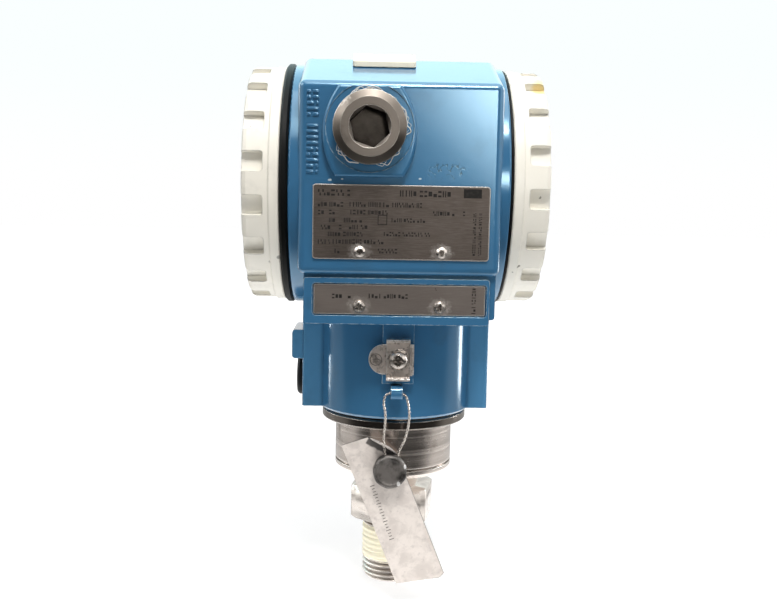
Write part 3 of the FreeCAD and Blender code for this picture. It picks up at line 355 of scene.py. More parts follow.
# %% Signs for the print
axis_z = 119.0
ink_thickness = 0.04
signs = [((0, 0, 0.34, 1), (0.66, 0, 1, 1)), ((0, 0, 1, 0.3), (0, 0.7, 1, 1)), ((0, 0.12, 1, 0.88), ),
         ((0.3, 0, 0.7, 1), ), ((0, 0.55, 0.48, 1), (0.52, 0, 1, 0.45)), ((0, 0, 1, 0.52), )]


def add_sign(mesh, corner, across, upward, depth, width, tall, shape=None):
    """Adds one sign from its lower left corner, with its own directions on the plate, in millimetres."""
    for left, low, right, high in chance.choice(signs) if shape is None else shape:
        centre = corner + across * width * (left + right) / 2 + upward * tall * (low + high) / 2
        turn = -atan2(across.z, across.x)
        add_bar(mesh, centre, (width * (right - left), depth, tall * (high - low)), turn)


def add_print(mesh, start, end, height, size, face_y, upright=True):
    """A row of signs in words of uneven length, or a column of them where upright is False."""
    across, upward = Vector((1, 0, 0)), Vector((0, 0, 1))
    if not upright:
        across, upward = upward, -across
    place, left_in_word = start, chance.randint(3, 7)
    while place < end - 0.3 * size:
        width = min(chance.uniform(0.45, 0.62) * size, end - place)
        origin = Vector((place, face_y, axis_z + height - size / 2)) if upright else Vector(
            (height + size / 2, face_y, axis_z + place))
        add_sign(mesh, origin, across, upward, ink_thickness, width, size)
        left_in_word -= 1
        place += width + (0.2 if left_in_word else 0.55) * size
        left_in_word = left_in_word or chance.randint(3, 7)


print("signs to print with:", len(signs))

# %% Print the two plates
name_rows = [(-25.9, -16.0, -2.6, 1.5), (-0.6, 16.7, -2.5, 1.5), (-25.9, -17.2, -6.2, 1.15),
             (-16.3, 6.3, -6.1, 1.15), (-25.8, -23.4, -8.7, 1.1), (-22.4, -20.6, -8.6, 1.1),
             (-16.0, -3.3, -8.5, 1.1), (9.8, 16.9, -8.5, 1.1), (19.1, 20.0, -8.4, 1.1),
             (-22.4, -20.3, -11.1, 1.1), (-17.8, -12.2, -11.0, 1.1),
             (-3.2, 7.6, -10.8, 1.0), (-24.9, -21.8, -13.3, 1.1), (-19.3, -18.4, -13.2, 1.1),
             (-16.2, -10.3, -13.1, 1.1), (-22.7, -18.6, -15.4, 1.1), (-18.0, -10.9, -15.3, 1.1),
             (-5.6, 9.0, -15.1, 1.0), (-26.0, -22.0, -17.8, 1.1), (-21.4, -16.4, -17.7, 1.1),
             (-16.1, -5.0, -17.6, 1.1), (-20.8, -18.6, -20.6, 1.1), (-7.1, -0.2, -20.4, 1.1)]
range_rows = [(-21.3, -17.8, -35.0, 1.5), (-16.3, -15.0, -34.9, 1.5), (-10.0, 2.7, -34.8, 1.5),
              (11.2, 11.8, -32.4, 0.8)]
name_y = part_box("nameplate")[0].y / MM
range_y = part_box("range_plate")[0].y / MM
print_mesh = bmesh.new()
for start, end, height, size in name_rows:
    add_print(print_mesh, start, end, height, 1.28 * size, name_y)
for x in (22.8, 24.6):
    add_print(print_mesh, -21.4, -8.1, x, 0.95, name_y, upright=False)
for x, z, width, tall in ((22.0, -2.2, 5.6, 2.8), (-5.85, -9.3, 2.9, 0.25), (-5.85, -12.2, 2.9, 0.25),
                          (-7.2, -10.75, 0.25, 3.0), (-4.5, -10.75, 0.25, 3.0)):
    add_bar(print_mesh, (x, name_y, axis_z + z), (width, ink_thickness, tall))
for start, end, height, size in range_rows:
    add_print(print_mesh, start, end, height, size, range_y)
add_print(print_mesh, -40.2, -31.9, 23.5, 1.3, range_y, upright=False)
plate_print = add_piece("plate_print", print_mesh, "housing", smooth=False)

# %% [markdown]
# The round tab of the ground terminal carries the usual earth sign, an upright stroke over three shorter
# and shorter bars in a ring. The tag's stamped marks follow its long side, and become a row of
# long and short strokes, as on a scale.

# %% Earth sign and tag marks
tab_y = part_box("ground_plate")[0].y / MM
sign_mesh = bmesh.new()
sign_x, sign_z, ring_radius = -7.0, 62.1, 1.9
for z, width, tall in ((62.95, 0.25, 1.5), (62.2, 2.3, 0.25), (61.6, 1.5, 0.25), (61.0, 0.7, 0.25)):
    add_bar(sign_mesh, (sign_x, tab_y, z), (width, 0.06, tall))
for step in range(30):
    angle = 2 * pi * step / 30
    add_bar(sign_mesh, (sign_x + ring_radius * cos(angle), tab_y, sign_z + ring_radius * sin(angle)),
            (0.46, 0.05, 0.2), pi / 2 - angle)
earth_sign = add_piece("earth_sign", sign_mesh, "housing", smooth=False)

tag_y = -28.45
mark_mesh = bmesh.new()
start, end = Vector((-7.8, 0, 20.0)), Vector((-0.6, 0, 0.6))
across = (end - start).normalized()
upward = Vector((-across.z, 0, across.x))
long_stroke, short_stroke = ((0.4, 0, 0.6, 1), ), ((0.4, 0.2, 0.6, 0.8), )
strokes = 19
for step in range(strokes):
    place = start.lerp(end, (step + 0.5) / strokes) + Vector((0, tag_y, 0)) - upward * 0.85
    add_sign(mark_mesh, place, across, upward, 0.05, 1.15, 1.6, short_stroke if step % 3 else long_stroke)
tag_marks = add_piece("tag_marks", mark_mesh, "tag", smooth=False)

# %% [markdown]
# Each of the three keys stands on a coil spring in its bore. A spring can't travel with its key, because
# its foot stays where it is, so it flattens towards that foot by the key's travel as the key goes down.
# This cell only gives each spring a mesh of its own.

# %% Give each key spring a mesh of its own
for number in (1, 2, 3):
    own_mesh(nodes[f"key_spring_{number}"])

# %% [markdown]
# Shader trees are easier to read when a node is added in one line, with its sockets filled or linked by
# name. Tree is a small helper for that. It also gives the nodes that every finish here needs many times,
# a sum, a colour mix, a noise, as plain calls that return the socket to link on.

# %% Helper for shader trees
class Tree:
    """A shader tree that nodes are added to, with their sockets set by name or number."""

    def __init__(self, tree):
        self.tree = tree

    def add(self, kind, inputs=None, **settings):
        node = self.tree.nodes.new("ShaderNode" + kind)
        for name, value in settings.items():
            setattr(node, name, value)
        for name, value in (inputs or {}).items():
            self.put(node.inputs[name], value)
        return node

    def put(self, socket, value):
        """Links a socket to another one, or sets its value. A colour comes without its alpha."""
        if isinstance(value, bpy.types.NodeSocket):
            self.tree.links.new(value, socket)
        else:
            socket.default_value = (*value, 1.0) if socket.type == "RGBA" else value

    def math(self, operation, first, second=0.0, clamp=False):
        return self.add("Math", {0: first, 1: second}, operation=operation, use_clamp=clamp).outputs[0]

    def plus(self, first, second, clamp=False):
        return self.math("ADD", first, second, clamp)

    def minus(self, first, second):
        return self.math("SUBTRACT", first, second)

    def rest(self, value):
        return self.math("SUBTRACT", 1.0, value)

    def times(self, first, second):
        return self.math("MULTIPLY", first, second)

    def most(self, first, second):
        return self.math("MAXIMUM", first, second)

    def absolute(self, value):
        return self.math("ABSOLUTE", value)

    def vector(self, operation, first, second=(0, 0, 0)):
        """Vector math. A length and a dot product are numbers, the rest are vectors."""
        outputs = self.add("VectorMath", {0: first, 1: second}, operation=operation).outputs
        return outputs["Value"] if operation in ("LENGTH", "DOT_PRODUCT") else outputs["Vector"]

    def split(self, vector):
        return self.add("SeparateXYZ", {0: vector}).outputs

    def mix(self, factor, first, second):
        return self.add("Mix", {0: factor, 6: first, 7: second}, data_type="RGBA").outputs[2]

    def ramp(self, value, low, high, start=0.0, end=1.0):
        """Maps low..high to start..end, smoothly, and holds both ends."""
        mapped = self.add("MapRange", {"Value": value, "From Min": low, "From Max": high,
                                       "To Min": start, "To Max": end}, interpolation_type="SMOOTHSTEP")
        return mapped.outputs[0]

    def noise(self, vector, scale, detail=3.0, roughness=0.5, distortion=0.0):
        return self.add("TexNoise", {"Vector": vector, "Scale": scale, "Detail": detail,
                                     "Roughness": roughness, "Distortion": distortion}).outputs["Fac"]

    def place(self):
        """The point of the surface, in the model's own metres."""
        return self.add("TexCoord").outputs["Object"]

    def along(self, first, second, third, shift=(0, 0, 0)):
        """The place with its axes named in another order, counted from a point."""
        split = self.split(self.vector("SUBTRACT", self.place(), shift))
        return self.add("CombineXYZ", {0: split[first], 1: split[second], 2: split[third]}).outputs[0]

    def facing(self):
        """How far the surface faces along Y, in the piece's own directions, so that it moves with the piece."""
        return self.split(self.add("TexCoord").outputs["Normal"])["Y"]

    def bend(self, radius):
        """How far the normal of a rounded corner leaves the surface's own: 0 away from edges."""
        rounded = self.add("Bevel", {"Radius": radius}, samples=6).outputs["Normal"]
        return self.rest(self.vector("DOT_PRODUCT", rounded, self.add("NewGeometry").outputs["Normal"]))

    def open_sky(self, reach):
        """Ambient occlusion by the piece itself: 1 in the open, less in a corner."""
        return self.add("AmbientOcclusion", {"Distance": reach}, samples=6, only_local=True).outputs["AO"]

    def group(self, name, **values):
        """Places a shared effect in this tree. Its sockets are written with _ for a space."""
        node = self.tree.nodes.new("ShaderNodeGroup")
        node.node_tree = bpy.data.node_groups[name]
        for label, value in values.items():
            self.put(node.inputs[label.replace("_", " ")], value)
        return node.outputs

    def mask(self, name, **values):
        return self.group(name, **values)["Mask"]


def new_group(name, outputs, **inputs):
    """A group with number outputs, and inputs by name and default. Returns its Tree and its input sockets."""
    tree = bpy.data.node_groups.new(name, "ShaderNodeTree")
    for label, value in inputs.items():
        kind = "NodeSocketVector" if isinstance(value, tuple) else "NodeSocketFloat"
        socket = tree.interface.new_socket(label.replace("_", " "), in_out="INPUT", socket_type=kind)
        socket.default_value = value
    for label in outputs:
        tree.interface.new_socket(label, in_out="OUTPUT", socket_type="NodeSocketFloat")
    return Tree(tree), tree.nodes.new("NodeGroupInput").outputs


def close_group(group, **results):
    """Links the finished values to the group's outputs."""
    leave = group.tree.nodes.new("NodeGroupOutput")
    for label, value in results.items():
        group.put(leave.inputs[label], value)


print("shader helpers ready")

# %% [markdown]
# Edges are where a used instrument shows its age: paint thins and metal is rubbed bright. Cycles can find
# an edge without extra geometry, because its Bevel node returns the normal of a rounded corner: where that
# differs from the surface's own normal, an edge is near. Inner corners are not rubbed, so ambient occlusion
# takes them out, and noise breaks the rest up, so that wear is never a line.

# %% Shared effect: edge wear
group, sockets = new_group("edge wear", ["Mask"], Width=0.0005, Noise_Scale=700.0, Amount=0.5)
nearness = group.ramp(group.bend(sockets["Width"]), 0.01, 0.16)
outside = group.times(nearness, group.ramp(group.open_sky(0.0015), 0.72, 0.9))
broken = group.noise(group.place(), sockets["Noise Scale"], 4.0, 0.6)
threshold = group.rest(sockets["Amount"])
close_group(group, Mask=group.ramp(group.times(outside, group.plus(broken, 0.4)), threshold,
                                   group.plus(threshold, 0.25)))
print("edge wear from the Bevel node")

# %% [markdown]
# Powder coat and cast paint are never flat: they have an orange-peel skin and drift a little in tone. One
# group gives both, a height for the Bump node and a tone between 0 and 1 for the colour.

# %% Shared effect: painted skin
group, sockets = new_group("painted skin", ["Height", "Tone"], Peel_Scale=700.0, Tone_Scale=45.0)
fine = group.noise(group.place(), sockets["Peel Scale"], 2.0, 0.45)
wide = group.noise(group.place(), sockets["Tone Scale"], 3.0, 0.55)
grains = group.noise(group.place(), group.times(sockets["Peel Scale"], 4.0), 1.0)
close_group(group, Height=group.plus(fine, group.times(grains, 0.15)), Tone=wide)

# %% [markdown]
# Dirt sits in two places: in corners, where nobody wipes, and as thin blotches on open faces. Ambient
# occlusion finds the corners and noise makes the blotches. The group returns one mask for both.

# %% Shared effect: grime
group, sockets = new_group("grime", ["Mask"], Reach=0.003, Corners=0.6, Blotches=0.2, Scale=90.0)
corner = group.times(group.ramp(group.rest(group.open_sky(sockets["Reach"])), 0.25, 0.9), sockets["Corners"])
uneven = group.noise(group.place(), sockets["Scale"], 5.0, 0.6)
blotch = group.times(group.ramp(uneven, 0.52, 0.72), sockets["Blotches"])
held = group.times(corner, group.ramp(uneven, 0.2, 0.6, 0.4, 1.0))
close_group(group, Mask=group.plus(held, blotch, clamp=True))

# %% [markdown]
# Scratches are thin curves in a few directions. The band where a noise crosses its middle value is exactly
# such a curve, and a second noise keeps only some of them.

# %% Shared effect: scratches
group, sockets = new_group("scratches", ["Mask"], Vector=(0, 0, 0), Scale=60.0, Width=0.01, Amount=0.4)
curve = group.noise(sockets["Vector"], sockets["Scale"], 2.0, 0.6, 0.6)
line = group.rest(group.ramp(group.absolute(group.minus(curve, 0.5)), 0.0, sockets["Width"]))
kept = group.noise(sockets["Vector"], group.times(sockets["Scale"], 0.7), 1.0)
limit = group.rest(sockets["Amount"])
close_group(group, Mask=group.times(line, group.ramp(kept, limit, group.plus(limit, 0.08))))

# %% [markdown]
# A patch is a soft round mask at one place, for a stain, a polished halo or a rubbed spot. Its size can
# differ along X, Y and Z, so that it stays on one face.

# %% Shared effect: a patch at one place
group, sockets = new_group("patch", ["Mask"], Centre=(0, 0, 0), Size=(1, 1, 1), Ragged=0.3)
offset = group.vector("SUBTRACT", group.place(), sockets["Centre"])
distance = group.vector("LENGTH", group.vector("DIVIDE", offset, sockets["Size"]))
rough_edge = group.times(group.minus(group.noise(group.place(), 900.0, 3.0), 0.5), sockets["Ragged"])
close_group(group, Mask=group.ramp(group.plus(distance, rough_edge), 1.0, 0.55))

# %% [markdown]
# Turned metal keeps the tool's fine rings. Noise that is read only by height and by distance from the
# turning axis is the same all the way round, so it draws those rings on any lathe-made piece. The axis is
# the third coordinate, so a piece that lies along X or Y hands its coordinates over in another order.

# %% Shared effect: turning rings
def axis_distance(group, split):
    """The distance from the third axis."""
    squares = [group.times(split[axis], split[axis]) for axis in "XY"]
    return group.math("SQRT", group.plus(*squares))


group, sockets = new_group("turning rings", ["Height", "Tone"], Vector=(0, 0, 0), Lines=1500.0)
split = group.split(sockets["Vector"])
rings = group.add("CombineXYZ", {"X": axis_distance(group, split), "Y": 0.0, "Z": split["Z"]}).outputs[0]
close_group(group, Height=group.noise(rings, sockets["Lines"], 3.0, 0.7),
            Tone=group.noise(rings, group.times(sockets["Lines"], 0.22), 2.0, 0.6))

# %% [markdown]
# The cover threads and the conduit thread are plain cylinders in the model. A wave that climbs one pitch in
# a turn, and acts only near the cylinder's radius, gives them thread ridges in the bump.

# %% Shared effect: thread ridges
group, sockets = new_group("thread ridges", ["Height"], Vector=(0, 0, 0), Radius=0.0345, Pitch=0.0015)
split = group.split(sockets["Vector"])
turns = group.math("DIVIDE", group.math("ARCTAN2", split["Y"], split["X"]), 2 * pi)
climb = group.plus(group.math("DIVIDE", split["Z"], sockets["Pitch"]), turns)
off_wall = group.absolute(group.minus(axis_distance(group, split), sockets["Radius"]))
close_group(group, Height=group.times(group.math("PINGPONG", climb, 0.5), group.ramp(off_wall, 0.0004, 0.0002)))
print("node groups:", len(bpy.data.node_groups))

# %% [markdown]
# Each finish is one material with its own Principled shader. A helper makes the material, sets the values
# that are the same all over on the shader's own sockets, and adds a Bump node whose normal comes from a
# small Bevel, so that every edge of the solid catches a little light, as a real edge does.

# %% Helper for finishes
def empty_tree(owner):
    """The emptied node tree of a material or a world."""
    owner.use_nodes = True
    owner.node_tree.nodes.clear()
    return Tree(owner.node_tree)


def new_finish(name, corner=0.00025, bump=0.1, depth=0.00003, **values):
    """A material with a Principled shader and a bump over softened corners."""
    material = bpy.data.materials.new(name)
    finish = empty_tree(material)
    softened = finish.add("Bevel", {"Radius": corner}, samples=4).outputs["Normal"]
    finish.bump = finish.add("Bump", {"Strength": bump, "Distance": depth, "Normal": softened})
    finish.shader = finish.add("BsdfPrincipled", {"Normal": finish.bump.outputs[0]})
    for label, value in values.items():
        finish.put(finish.shader.inputs[label.replace("_", " ")], value)
    finish.add("OutputMaterial", {"Surface": finish.shader.outputs[0]})
    finish.material = material
    return finish


def set_look(finish, colour, roughness, height):
    """Links a finish's colour, roughness and bump height."""
    finish.put(finish.shader.inputs["Base Color"], colour)
    finish.put(finish.shader.inputs["Roughness"], roughness)
    finish.put(finish.bump.inputs["Height"], height)


def grained_finish(name, dark, light, scale, rough, detail=4.0, jagged=0.5, tone=None, **values):
    """A finish whose colour, roughness and bump all follow one noise. tone narrows the colours' blend."""
    finish = new_finish(name, **values)
    grain = finish.noise(finish.place(), scale, detail, jagged)
    blend = finish.ramp(grain, *tone) if tone else grain
    set_look(finish, finish.mix(blend, dark, light), finish.ramp(grain, 0.3, 0.7, *rough), grain)
    return finish


def paint(finish, *targets):
    """Gives the finish to nodes, by name, and to new pieces."""
    for target in targets:
        piece = nodes[target] if isinstance(target, str) else target
        piece.data.materials.clear()
        piece.data.materials.append(finish.material)


print("finish helper ready")

# %% [markdown]
# The housing is powder-coated in a mid blue. The coat is glossy enough for lamps to show in it, slightly
# orange-peeled, chipped to a pale primer on the sharpest edges, dirty under the plates, and scuffed with
# a few dark curved scratches right of the plug. The two pads beside the neck are painted lighter in front,
# as they catch more light on the photograph. The bare threads under the covers show as ridges.

# %% Finish: blue powder coat
blue = new_finish("blue powder coat", 0.0004, 0.3, 0.00003, Coat_Weight=0.3, Coat_Roughness=0.08,
                  Specular_IOR_Level=0.9, Specular_Tint=(0.50, 0.82, 1.0))
skin = blue.group("painted skin", Peel_Scale=520.0, Tone_Scale=38.0)
body_blue = blue.mix(skin["Tone"], (0.033, 0.126, 0.250), (0.043, 0.155, 0.300))
split = blue.split(blue.place())
on_pads = blue.times(blue.ramp(blue.absolute(split["X"]), 0.0250, 0.0266), blue.ramp(split["Z"], 0.073, 0.070))
pad_fronts = blue.times(on_pads, blue.ramp(blue.facing(), -0.6, -0.9))
body_blue = blue.mix(pad_fronts, body_blue, (0.080, 0.250, 0.450))
dirt = blue.mask("grime", Reach=0.0030, Corners=0.40, Blotches=0.16, Scale=70.0)
dirty = blue.mix(dirt, body_blue, (0.030, 0.045, 0.055))
scuff_zone = blue.mask("patch", Centre=(0.0140, -0.0420, 0.1235), Size=(0.0075, 0.0020, 0.0032), Ragged=0.5)
lines = blue.mask("scratches", Vector=blue.place(), Scale=330.0, Width=0.035, Amount=0.62)
scuff = blue.times(scuff_zone, lines)
scuffed = blue.mix(blue.times(scuff, 0.9), dirty, (0.012, 0.020, 0.025))
chip = blue.mask("edge wear", Width=0.0006, Noise_Scale=520.0, Amount=0.25)
for x, z, size in ((0.0055, 0.1211, 0.0005), (-0.0223, 0.1202, 0.0007), (-0.0185, 0.1206, 0.0004)):
    spot = blue.mask("patch", Centre=(x, -0.0420, z), Size=(size, 0.002, 0.6 * size), Ragged=1.2)
    chip = blue.most(chip, spot)
entry = blue.along("X", "Z", "Y", (plug_x * MM, 0, plug_z * MM))
cover_neck = blue.along("Y", "Z", "X", (0, 0, axis_z * MM))
ridges = blue.plus(blue.group("thread ridges", Vector=entry, Radius=0.00925, Pitch=0.0015)["Height"],
                   blue.group("thread ridges", Vector=cover_neck, Radius=0.0345, Pitch=0.0015)["Height"])
height = blue.minus(skin["Height"], blue.times(scuff, 1.5))
set_look(blue, blue.mix(chip, scuffed, (0.50, 0.60, 0.66)),
         blue.plus(0.17, blue.times(dirt, 0.45), clamp=True),
         blue.plus(height, blue.times(ridges, 60.0)))
paint(blue, "housing", cast_marks)

# %% [markdown]
# The two covers are painted a warm light grey, almost cream, and are a little satin. They have a few dark
# specks low on the left one, a yellow stain high on the right one, faint rubs, and dirt in the notches. The
# notch floors are painted lighter as well, a painted light that fills them.

# %% Finish: cover paint
cream = new_finish("cover paint", 0.0005, 0.25, 0.00003, Coat_Weight=0.10, Coat_Roughness=0.25,
                   Specular_IOR_Level=0.35)
skin = cream.group("painted skin", Peel_Scale=800.0, Tone_Scale=55.0)
body_cream = cream.mix(skin["Tone"], (0.810, 0.770, 0.680), (0.870, 0.840, 0.760))
# Painted light: the floors of the notches are painted lighter, as if lit inside.
around = cream.split(cream.along("Y", "Z", "X", (0, 0, axis_z * MM)))
in_notches = cream.ramp(axis_distance(cream, around), 0.0391, 0.0381)
body_cream = cream.mix(in_notches, body_cream, (0.930, 0.900, 0.820))
dirt = cream.mask("grime", Reach=0.0015, Corners=0.35, Blotches=0.10, Scale=120.0)
dirty = cream.mix(dirt, body_cream, (0.13, 0.105, 0.085))
speck_field = cream.add("TexVoronoi", {"Vector": cream.place(), "Scale": 260.0}).outputs["Distance"]
rare = cream.noise(cream.place(), 150.0, 1.0)
speck = cream.times(cream.ramp(speck_field, 0.16, 0.08), cream.ramp(rare, 0.63, 0.67))
low_left = cream.mask("patch", Centre=(-0.0435, -0.036, 0.0960), Size=(0.008, 0.010, 0.009), Ragged=0.5)
more = cream.times(cream.ramp(speck_field, 0.30, 0.15), cream.ramp(rare, 0.50, 0.56))
speck = cream.most(speck, cream.times(more, low_left))
specked = cream.mix(cream.times(speck, 0.8), dirty, (0.10, 0.08, 0.06))
stain = cream.mask("patch", Centre=(0.0460, -0.0180, 0.1520), Size=(0.0038, 0.007, 0.0040), Ragged=0.5)
stained = cream.mix(cream.times(stain, 0.75), specked, (0.90, 0.68, 0.22))
chip = cream.mask("edge wear", Width=0.0006, Noise_Scale=480.0, Amount=0.30)
set_look(cream, cream.mix(chip, stained, (0.50, 0.48, 0.45)),
         cream.plus(0.42, cream.times(dirt, 0.3), clamp=True), skin["Height"])
paint(cream, "terminal_cover", "electronics_cover")
print("paints on housing and covers")

# %% [markdown]
# All turned parts on the process axis are stainless steel with fine rings, dulled by weather. Metal looks
# right only when its roughness varies, so the rings drive the roughness as well as the bump. The plug is
# turned about its own axis, and two painted highlights sit on its rim, bright patches in the worn-edge colour.

# %% Finish: turned stainless steel
def turned_finish(name, lines, dark, light, grime_colour, corners, blotches, reach=0.0035, rough=0.30, highlight_spots=(),
                  order="XYZ", shift=(0, 0, 0)):
    """Turned steel about an axis: the third name in order is the axis."""
    finish = new_finish(name, 0.0003, 0.4, 0.00003, Metallic=1.0)
    rings = finish.group("turning rings", Vector=finish.along(*order, shift), Lines=lines)
    dirt = finish.mask("grime", Reach=reach, Corners=corners, Blotches=blotches, Scale=75.0)
    rim = finish.mask("edge wear", Width=0.0005, Noise_Scale=250.0, Amount=0.75)
    # Painted highlights: bright patches on the rim, mixed in with the worn edges.
    for centre, size in highlight_spots:
        rub_and_highlight = finish.mask("patch", Centre=centre, Size=(size, size, size), Ragged=1.0)
        rim = finish.most(rim, finish.times(rub_and_highlight, 0.6))
    dulled = finish.mix(dirt, finish.mix(rings["Tone"], dark, light), grime_colour)
    uneven = finish.ramp(rings["Tone"], 0.3, 0.7, rough - 0.06, rough + 0.08)
    set_look(finish, finish.mix(rim, dulled, (0.80, 0.76, 0.71)), finish.plus(uneven, finish.times(dirt, 0.3)),
             rings["Height"])
    return finish


steel = turned_finish("turned stainless", 2200.0, (0.28, 0.235, 0.205), (0.88, 0.800, 0.740),
                      (0.10, 0.078, 0.06), 0.9, 0.70, rough=0.22)
paint(steel, "sensor_can", "isolating_diaphragm")
bright_turned = turned_finish("bright turned stainless", 2600.0, (0.34, 0.305, 0.275), (0.72, 0.67, 0.62),
                              (0.08, 0.06, 0.05), 1.2, 0.45)
paint(bright_turned, threaded)
# Painted shade: the flange under the housing gets a much darker copy of the same steel.
flange_steel = turned_finish("dark flange steel", 1800.0, (0.11, 0.094, 0.080), (0.24, 0.210, 0.185),
                             (0.06, 0.048, 0.04), 0.9, 0.45, rough=0.18)
paint(flange_steel, "neck_adapter")
# The plug rim's two painted highlights: place and size of each.
rim_highlights = [(((plug_x + x) * MM, rim_y * MM, (plug_z + z) * MM), size)
              for x, z, size in ((-7.4, 7.4, 0.0050), (1.5, -10.0, 0.0035))]
plug_steel = turned_finish("plug steel", 1500.0, (0.11, 0.094, 0.080), (0.24, 0.212, 0.185),
                           (0.03, 0.025, 0.020), 1.3, 0.5, 0.010, 0.40, rim_highlights, "XZY",
                           (plug_x * MM, 0, plug_z * MM))
paint(plug_steel, "blanking_plug")
print("steel finishes made")

# %% [markdown]
# The two plates are thin stainless sheet that has gone dull and brown-grey, with blotches and rubbed
# places, and the lower one is a little paler. Each has bright halos round its fasteners, where a driver has
# slipped on the metal.

# %% Finish: worn plates
plate = new_finish("worn plate", 0.0003, 0.3, 0.00002, Metallic=0.9)
where = plate.place()
streaked = plate.vector("MULTIPLY", where, (0.06, 1.0, 1.0))
grain = plate.noise(streaked, 4500.0, 3.0, 0.7)
blotch = plate.noise(where, 60.0, 4.0, 0.55, 0.3)
body_plate = plate.mix(plate.ramp(blotch, 0.3, 0.7), (0.070, 0.056, 0.047), (0.120, 0.099, 0.085))
grained = plate.mix(plate.times(plate.ramp(grain, 0.35, 0.8), 0.18), body_plate, (0.33, 0.30, 0.285))
on_lower = plate.ramp(plate.split(where)["Z"], 0.092, 0.090, 0.0, 0.35)
marked = plate.mix(on_lower, grained, (0.34, 0.30, 0.275))
halos = 0.0
for x, z in ((-0.01275, 0.0809), (0.01275, 0.0809), (-0.01275, 0.0983), (0.01275, 0.0983)):
    halo = plate.mask("patch", Centre=(x, -0.0410, z), Size=(0.0046, 0.004, 0.0036), Ragged=0.9)
    halos = plate.plus(halos, halo, clamp=True)
rub_and_highlight = plate.mask("scratches", Vector=where, Scale=520.0, Width=0.05, Amount=0.55)
bright = plate.times(halos, plate.plus(0.22, plate.times(rub_and_highlight, 0.3)))
rim = plate.mask("edge wear", Width=0.0007, Noise_Scale=200.0, Amount=0.85)
set_look(plate, plate.mix(plate.most(bright, rim), marked, (0.66, 0.62, 0.58)),
         plate.ramp(blotch, 0.3, 0.7, 0.40, 0.54), plate.minus(grain, plate.times(rub_and_highlight, 0.5)))
paint(plate, "nameplate", "range_plate")

# %% [markdown]
# Printed ink is nearly black and worn thin here and there, so that a little of the metal shows through. The
# tag's marks are stamped, not printed: their strokes are greyer, because only dirt darkens them. In both,
# one noise drives colour, roughness and bump.

# %% Finishes: worn ink and stamped marks
flat_matt = {"jagged": 0.6, "corner": 0.00005, "bump": 0.1, "depth": 0.00001, "Specular_IOR_Level": 0.2}
ink = grained_finish("worn ink", (0.010, 0.009, 0.008), (0.030, 0.026, 0.024), 900.0, (0.45, 0.65),
                     tone=(0.45, 0.75), **flat_matt)
stamp = grained_finish("stamped marks", (0.055, 0.046, 0.043), (0.22, 0.19, 0.175), 1200.0, (0.5, 0.7),
                       tone=(0.40, 0.70), **flat_matt)
paint(ink, plate_print, earth_sign)
paint(stamp, tag_marks)

# %% [markdown]
# Screws, pins, washer, springs and the seal wire are bright stainless. Their heads are polished by handling
# and hold dirt in the recesses: a dark patch sits in the middle of each head that shows. The ground clamp
# and the plate under it are duller, and bright only at their edges, partly worn metal and partly painted
# highlights.

# %% Finish: fasteners and ground clamp
shiny = new_finish("bright stainless", 0.00015, 0.2, 0.00002, Metallic=1.0)
uneven = shiny.noise(shiny.place(), 800.0, 4.0, 0.6)
dirt = shiny.mask("grime", Reach=0.0012, Corners=1.0, Blotches=0.2, Scale=300.0)
heads = [(name, x, 0.0011) for name in ("nameplate_pins", "range_plate_screws") for x in (-12.75, 12.75)]
for name, x, size in heads + [("ground_screw", None, 0.0021)]:
    low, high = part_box(name)
    middle = (low + high) / 2
    middle.x = x * MM if x else middle.x
    hollow = shiny.mask("patch", Centre=(middle.x, low.y, middle.z), Size=(size, size, size), Ragged=1.6)
    dirt = shiny.most(dirt, shiny.times(hollow, 0.85))
body_steel = shiny.mix(uneven, (0.48, 0.43, 0.39), (0.70, 0.65, 0.60))
set_look(shiny, shiny.mix(dirt, body_steel, (0.07, 0.055, 0.045)), shiny.ramp(uneven, 0.3, 0.7, 0.20, 0.36),
         uneven)
paint(shiny, "nameplate_pins", "range_plate_screws", "ground_washer", "ground_screw", "swivel_set_screw",
      "key_spring_1", "key_spring_2", "key_spring_3", "flap_hinge_pin", "terminal_screws",
      "terminal_block_screws", "inner_ground_screw", "module_screws", seal_wire)

tab = new_finish("dull tab steel", 0.0004, 0.2, 0.00002, Metallic=0.65)
uneven = tab.noise(tab.place(), 300.0, 4.0, 0.6)
dirt = tab.mask("grime", Reach=0.0012, Corners=0.9, Blotches=0.3, Scale=220.0)
# Bright edges: partly worn metal, partly painted highlights where the lips catch the light.
rim = tab.mask("edge wear", Width=0.0006, Noise_Scale=200.0, Amount=0.9)
body_steel = tab.mix(uneven, (0.44, 0.375, 0.330), (0.72, 0.640, 0.580))
set_look(tab, tab.mix(rim, tab.mix(dirt, body_steel, (0.07, 0.055, 0.045)), (0.90, 0.86, 0.82)),
         tab.ramp(uneven, 0.3, 0.7, 0.22, 0.36), uneven)
paint(tab, "ground_plate", "ground_clamp")
print("fasteners done")

# %% [markdown]
# Lead is soft and dark. The pressed disc has gone nearly black, with small pits and worn edges, and three
# bright glints are painted on its rim as highlights.

# %% Finish: lead
lead = new_finish("oxidised lead", 0.0004, 0.8, 0.0004, Metallic=0.5)
where = lead.place()
uneven = lead.noise(where, 190.0, 3.0, 0.5)
worn_and_glints = lead.mask("edge wear", Width=0.0012, Noise_Scale=420.0, Amount=0.35)
pits = lead.ramp(lead.noise(where, 900.0, 3.0, 0.6), 0.60, 0.72)
body_lead = lead.mix(lead.ramp(uneven, 0.40, 0.62), (0.022, 0.019, 0.017), (0.150, 0.136, 0.126))
pitted = lead.mix(lead.times(pits, 0.6), body_lead, (0.035, 0.033, 0.032))
